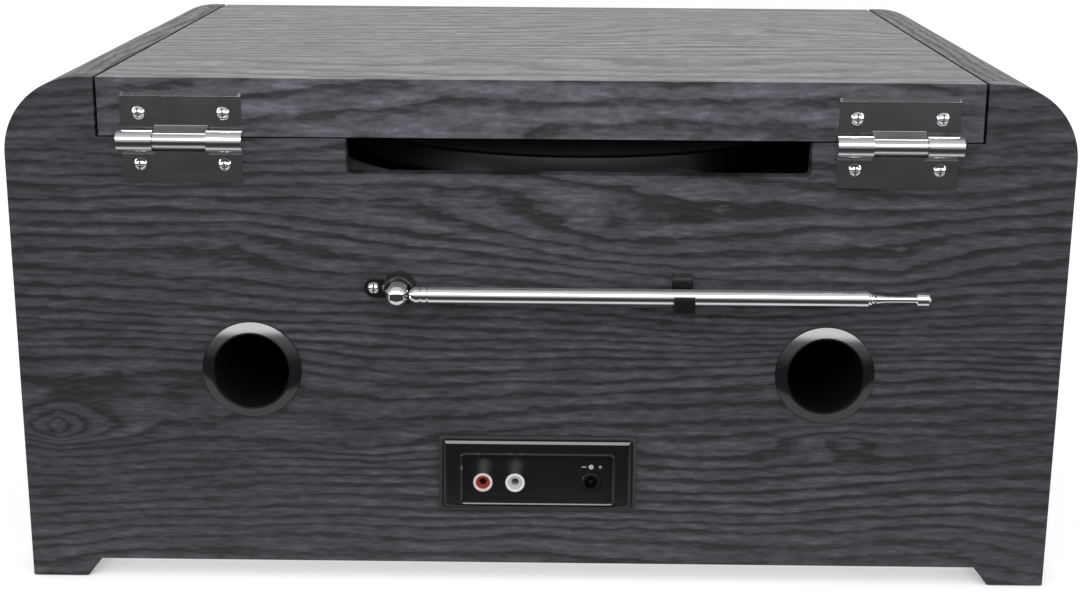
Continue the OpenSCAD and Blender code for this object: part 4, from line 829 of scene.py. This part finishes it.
def turned_bar(x, z, angle, inner, outer, width):
    """A radial mark round a centre; the angle is from straight up, clockwise as seen."""
    dx, dz = math.sin(angle), math.cos(angle)
    half = width / 2
    corners = ((inner, -1), (inner, 1), (outer, 1), (outer, -1))
    return [(x + r * dx + k * half * dz, z + r * dz - k * half * dx) for r, k in corners]


KNOB_DEPTH_MM = 18


def dress_front():
    """The fascia with its controls, and the grilles."""
    softened("fascia", 0.5 * MM, where=in_front("fascia"))
    softened("speaker_grilles", 1.6 * MM, segments=3, where=in_front("speaker_grilles"))
    softened("cd_tray", 0.4 * MM, where=in_front("cd_tray"))
    for node in KNOBS:
        softened(node, 0.5 * MM, where=in_front(node, KNOB_DEPTH_MM))
    for button in BUTTONS:
        node = "button_" + button
        softened(node, 0.4 * MM, where=in_front(node))
    pale = grained("printed_pale", (0.62, 0.61, 0.57), 0.5, spread=0.04)
    dark = grained("printed_dark", (0.02, 0.02, 0.022), 0.5, spread=0.04)
    scale_marks(dark)
    knob_marks(pale, dark)
    button_marks(dark)
    display_face()


# The dial's two scales: figures, and how high the figures and the line lie over a middle row,
# which is just below the middle of the pointer
DIAL_SCALES = (
    (("88", "92", "96", "100", "104", "108"), 9 * MM, 3.5 * MM),
    (("53", "60", "70", "80", "100", "130", "160"), -11 * MM, -5.5 * MM),
)
DIAL_ROW_DROP = 2.5 * MM
DIAL_FIGURE_HEIGHT = 4.0 * MM
DIAL_LINE_WIDTH = 0.4 * MM
DIAL_TICKS = 41
TICK_WIDTH = 0.3 * MM
LONG_TICK = 3.0 * MM
SHORT_TICK = 1.7 * MM


def scale_marks(dark):
    """Two rows of figures with their ticks on the tuning dial."""
    low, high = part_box("dial_scale")
    pointer = mid("dial_pointer")
    middle, row = (low.x + high.x) / 2, pointer.z - DIAL_ROW_DROP
    half = abs(pointer.x - middle)

    def spread(i, count):
        """The X of mark i of a row of marks over the pointer's run."""
        return middle + half * (2 * i / (count - 1) - 1)

    labels = [
        (text, spread(i, len(texts)), row + rise, DIAL_FIGURE_HEIGHT)
        for texts, rise, _ in DIAL_SCALES for i, text in enumerate(texts)
    ]
    figures("dial_figures", labels, low.y - 0.06 * MM, "dial_cream", dark)
    upper, lower = (row + line for _, _, line in DIAL_SCALES)
    ticks = [bar(middle, z, 2 * half, DIAL_LINE_WIDTH) for z in (upper, lower)]
    for i in range(DIAL_TICKS):
        tall = LONG_TICK if i % 4 == 0 else SHORT_TICK
        for z in (upper - tall / 2, lower + tall / 2):
            ticks.append(bar(spread(i, DIAL_TICKS), z, TICK_WIDTH, tall))
    symbols("dial_ticks", ticks, low.y - 0.02 * MM, "cabinet", "dial_cream", dark)


# Radial marks: inner and outer radius, and width
KNOB_LINE = (6.5 * MM, 12.0 * MM, 0.9 * MM)
KNOB_TICK = (16.6 * MM, 18.4 * MM, 0.6 * MM)
# How many ticks a knob has, and how far round the first and the last are from straight up
KNOB_SCALES = (("volume_knob", 11, 150), ("function_knob", 4, 45))


def knob_marks(pale, dark):
    """A line on each knob's face, and marks round the volume and function knobs."""
    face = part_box("fascia")[0].y
    for node in KNOBS:
        centre = mid(node)
        line = turned_bar(centre.x, centre.z, 0.0, *KNOB_LINE)
        symbols(node + "_line", [line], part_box(node)[0].y, BODY_OF[node], "knob_metal", dark)
    for node, count, spread in KNOB_SCALES:
        centre = mid(node)
        angles = [math.radians(spread * (2 * i / (count - 1) - 1)) for i in range(count)]
        outlines = [turned_bar(centre.x, centre.z, angle, *KNOB_TICK) for angle in angles]
        symbols(node + "_scale", outlines, face, "cabinet", "black_plastic", pale)


SIGN_RADIUS = 1.7 * MM
POWER_RING_RADIUS = 2.3 * MM
RING_STEPS = 20


def button_marks(dark):
    """The usual signs for power, play, stop and skip."""
    def arrow(x, z, r):
        return [(x - r * 0.6, z - r), (x + r, z), (x - r * 0.6, z + r)]

    power, play, stop, skip = (mid("button_" + button) for button in BUTTONS)
    r = SIGN_RADIUS
    small = r * 0.8
    open_turn = [math.radians(40 + 280 * i / RING_STEPS) for i in range(RING_STEPS + 1)]
    there_and_back = [(POWER_RING_RADIUS, a) for a in open_turn] + [(r, a) for a in reversed(open_turn)]
    ring = [(power.x + k * math.sin(a), power.z + k * math.cos(a)) for k, a in there_and_back]
    signs = {
        "power": [ring, bar(power.x, power.z + 1.5 * MM, 0.55 * MM, 2.2 * MM)],
        "play": [arrow(play.x, play.z, r)],
        "stop": [bar(stop.x, stop.z, 2 * r, 2 * r)],
        "skip": [
            arrow(skip.x - 1.3 * MM, skip.z, small), arrow(skip.x + 0.9 * MM, skip.z, small),
            bar(skip.x + 2.6 * MM, skip.z, 0.5 * MM, 2 * small),
        ],
    }
    for sign, outlines in signs.items():
        node = "button_" + sign
        symbols(node + "_sign", outlines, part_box(node)[0].y, BODY_OF[node], "knob_metal", dark)


# The display's middle in from the fascia's end, its size, and its figures' height
DISPLAY_INSET = 48 * MM
DISPLAY_SIZE = (58 * MM, 14 * MM)
DISPLAY_FIGURE_HEIGHT = 7.0 * MM


def display_face():
    """A dark display with idle figures, on the control board behind its window."""
    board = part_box("control_board")[0].y
    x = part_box("fascia")[1].x - DISPLAY_INSET
    z = mid("button_play").z
    dark = grained("display_black", (0.006, 0.009, 0.008), 0.12, depth=0.000002)
    plates("display_panel", [bar(x, z, *DISPLAY_SIZE)], board - 0.3 * MM, 0.2 * MM,
           "cabinet", "circuit", dark)
    green = grained("display_segments", (0.16, 0.42, 0.30), 0.4, spread=0.04)
    figures("display_figures", [("00:00", x, z, DISPLAY_FIGURE_HEIGHT)], board - 0.4 * MM,
            "circuit", green)


# ---- deck ----

# The plate's place: under the deck's rim, in from its edges, and outside the platter's well
TRIM_BELOW_RIM = 0.8 * MM
TRIM_INSET = 3 * MM
WELL_MARGIN = 7.5 * MM
TRIM_THICKNESS = 0.35 * MM
TRIM_DEPTH = 130 * MM
TRIM_START_X = 22 * MM
ARC_STEPS = 40


def deck_trim():
    """A thin satin plate on the deck beside the platter's well, under the tonearm."""
    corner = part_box("deck_plate")[1]
    low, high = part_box("platter")
    spindle = mid("spindle")
    well = (high.x - low.x) / 2 + WELL_MARGIN
    under = corner.z - TRIM_BELOW_RIM
    side, back, front = corner.x - TRIM_INSET, corner.y - TRIM_INSET, corner.y - TRIM_DEPTH
    start = math.acos((TRIM_START_X - spindle.x) / well)
    stop = math.asin((front - spindle.y) / well)
    arc = [start + (stop - start) * i / ARC_STEPS for i in range(ARC_STEPS + 1)]
    outline = [(spindle.x + well * math.cos(a), spindle.y + well * math.sin(a)) for a in arc]
    outline += [(side, front), (side, back), (outline[0][0], back)]
    bm = bmesh.new()
    prism(bm, *([(x, y, z) for x, y in outline] for z in (under, under + TRIM_THICKNESS)))
    face_outwards(bm)
    satin = grained("deck_trim_satin", (0.74, 0.75, 0.77), 0.4, spread=0.05)
    piece("deck_trim", to_mesh(bm, "deck_trim", satin), "cabinet", "deck_black")


# ---- stage ----

FLOOR_REACH = 2.2
FLOOR_END_Y = 0.24
# The floor's own light from deep under the cabinet to the open, a painted contact shadow: openness and
# strength
FLOOR_LIGHT = ((0.09, 0.05), (0.13, 0.33), (0.20, 0.55), (0.35, 0.70), (0.55, 0.77), (0.85, 0.86))
# How far from the floor it looks for what shades it, and the share of its light that falls on
# other surfaces
CONTACT_SHADOW = 0.02
UNSEEN_SHARE = 0.55


def add_floor():
    """A white sheet, which ends behind the cabinet where the camera no longer sees it."""
    bm = bmesh.new()
    reach = FLOOR_REACH
    corners = [(-reach, -reach), (reach, -reach), (reach, FLOOR_END_Y), (-reach, FLOOR_END_Y)]
    bm.faces.new([bm.verts.new((x, y, 0.0)) for x, y in corners])
    net = Finish("floor_white", 0.9, specular=0.0)
    net.set("Base Color", (0.30, 0.30, 0.305))
    net.set("Emission Color", (1.0, 1.0, 1.0))
    near = net.add("AmbientOcclusion")
    near.inputs["Distance"].default_value = CONTACT_SHADOW
    # Painted contact shadow: the glow fades where the cabinet closes the floor in, on top of the real
    # shadow on the base colour
    lit = net.ramp(near.outputs["AO"], *FLOOR_LIGHT)
    seen = net.add("LightPath").outputs["Is Camera Ray"]
    share = net.remap(seen, 0.0, 1.0, UNSEEN_SHARE, 1.0)
    net.set("Emission Strength", net.math("MULTIPLY", lit, share))
    floor = bpy.data.objects.new("floor", to_mesh(bm, "floor", net.material))
    bpy.context.scene.collection.objects.link(floor)


# What a polished surface sees round the X axis: angle from the horizon behind the cabinet, up
# through the zenith to the horizon in front of it, and grey level
STUDIO = (
    (-180, 1.0), (-90, 0.60), (-67, 0.33), (-50, 0.09), (-35, 0.04), (-20, 0.04), (-9, 0.055),
    (0, 0.28), (8, 0.55), (21, 0.85), (35, 1.0), (48, 0.88), (63, 0.72), (78, 0.58), (94, 0.48),
    (128, 0.50), (150, 0.92), (180, 1.0),
)
# A softbox in that room: angle, and share of the strength that it adds
SOFTBOX = ((-180, 0.0), (26, 0.0), (31, 1.0), (41, 1.0), (46, 0.0), (180, 0.0))
SOFTBOX_STRENGTH = 8.0
# What matt surfaces see all round
SURROUND = (0.66, 0.66, 0.67)
FILL_WATTS = 0.5
FILL_SIZE = 0.3
FILL_BEHIND_BACK = 0.18
FILL_Z = 0.32
FILL_AIM_Z = 0.14


def add_fill():
    """A small lamp close behind the back, which lights its middle more than its ends."""
    data = bpy.data.lights.new("fill", "AREA")
    data.size = FILL_SIZE
    data.energy = FILL_WATTS
    lamp = bpy.data.objects.new("fill", data)
    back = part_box("back_panel")[1]
    lamp.location = (0.0, back.y + FILL_BEHIND_BACK, FILL_Z)
    aim = Vector((0.0, back.y, FILL_AIM_Z)) - lamp.location
    lamp.rotation_euler = aim.to_track_quat("-Z", "Y").to_euler()
    lamp.visible_glossy = False
    lamp.visible_camera = False
    bpy.context.scene.collection.objects.link(lamp)


def add_world():
    """Even white light. Polished surfaces see a softbox over a dark room behind the cabinet."""
    world = bpy.data.worlds.new("studio")
    world.use_nodes = True
    bpy.context.scene.world = world
    net = Net(world.node_tree)
    background = world.node_tree.nodes["Background"]
    xyz = net.split(net.add("TexCoord").outputs["Generated"])
    angle = net.math("ARCTAN2", xyz[2], xyz[1])
    turn = net.math("MULTIPLY_ADD", angle, 1 / math.tau, 0.5)
    room, softbox = (
        net.ramp(turn, *((a / 360 + 0.5, level) for a, level in levels)) for levels in (STUDIO, SOFTBOX)
    )
    room = net.math("MULTIPLY_ADD", softbox, SOFTBOX_STRENGTH, room)
    path = net.add("LightPath")
    lit = net.mix(path.outputs["Is Glossy Ray"], SURROUND, room)
    shown = net.mix(path.outputs["Is Camera Ray"], lit, (1.0, 1.0, 1.0))
    net.feed(background.inputs["Color"], shown)
    background.inputs["Strength"].default_value = 1.0


# ---- everything ----

add_camera()
FINISHES = make_finishes()
for name, obj in frame["nodes"].items():
    obj.data.materials.clear()
    obj.data.materials.append(FINISHES[SLOT_OF[name]])
dress_cabinet()
dress_rear()
dress_front()
deck_trim()
add_floor()
add_fill()
add_world()

bpy.context.scene.view_settings.view_transform = "Standard"
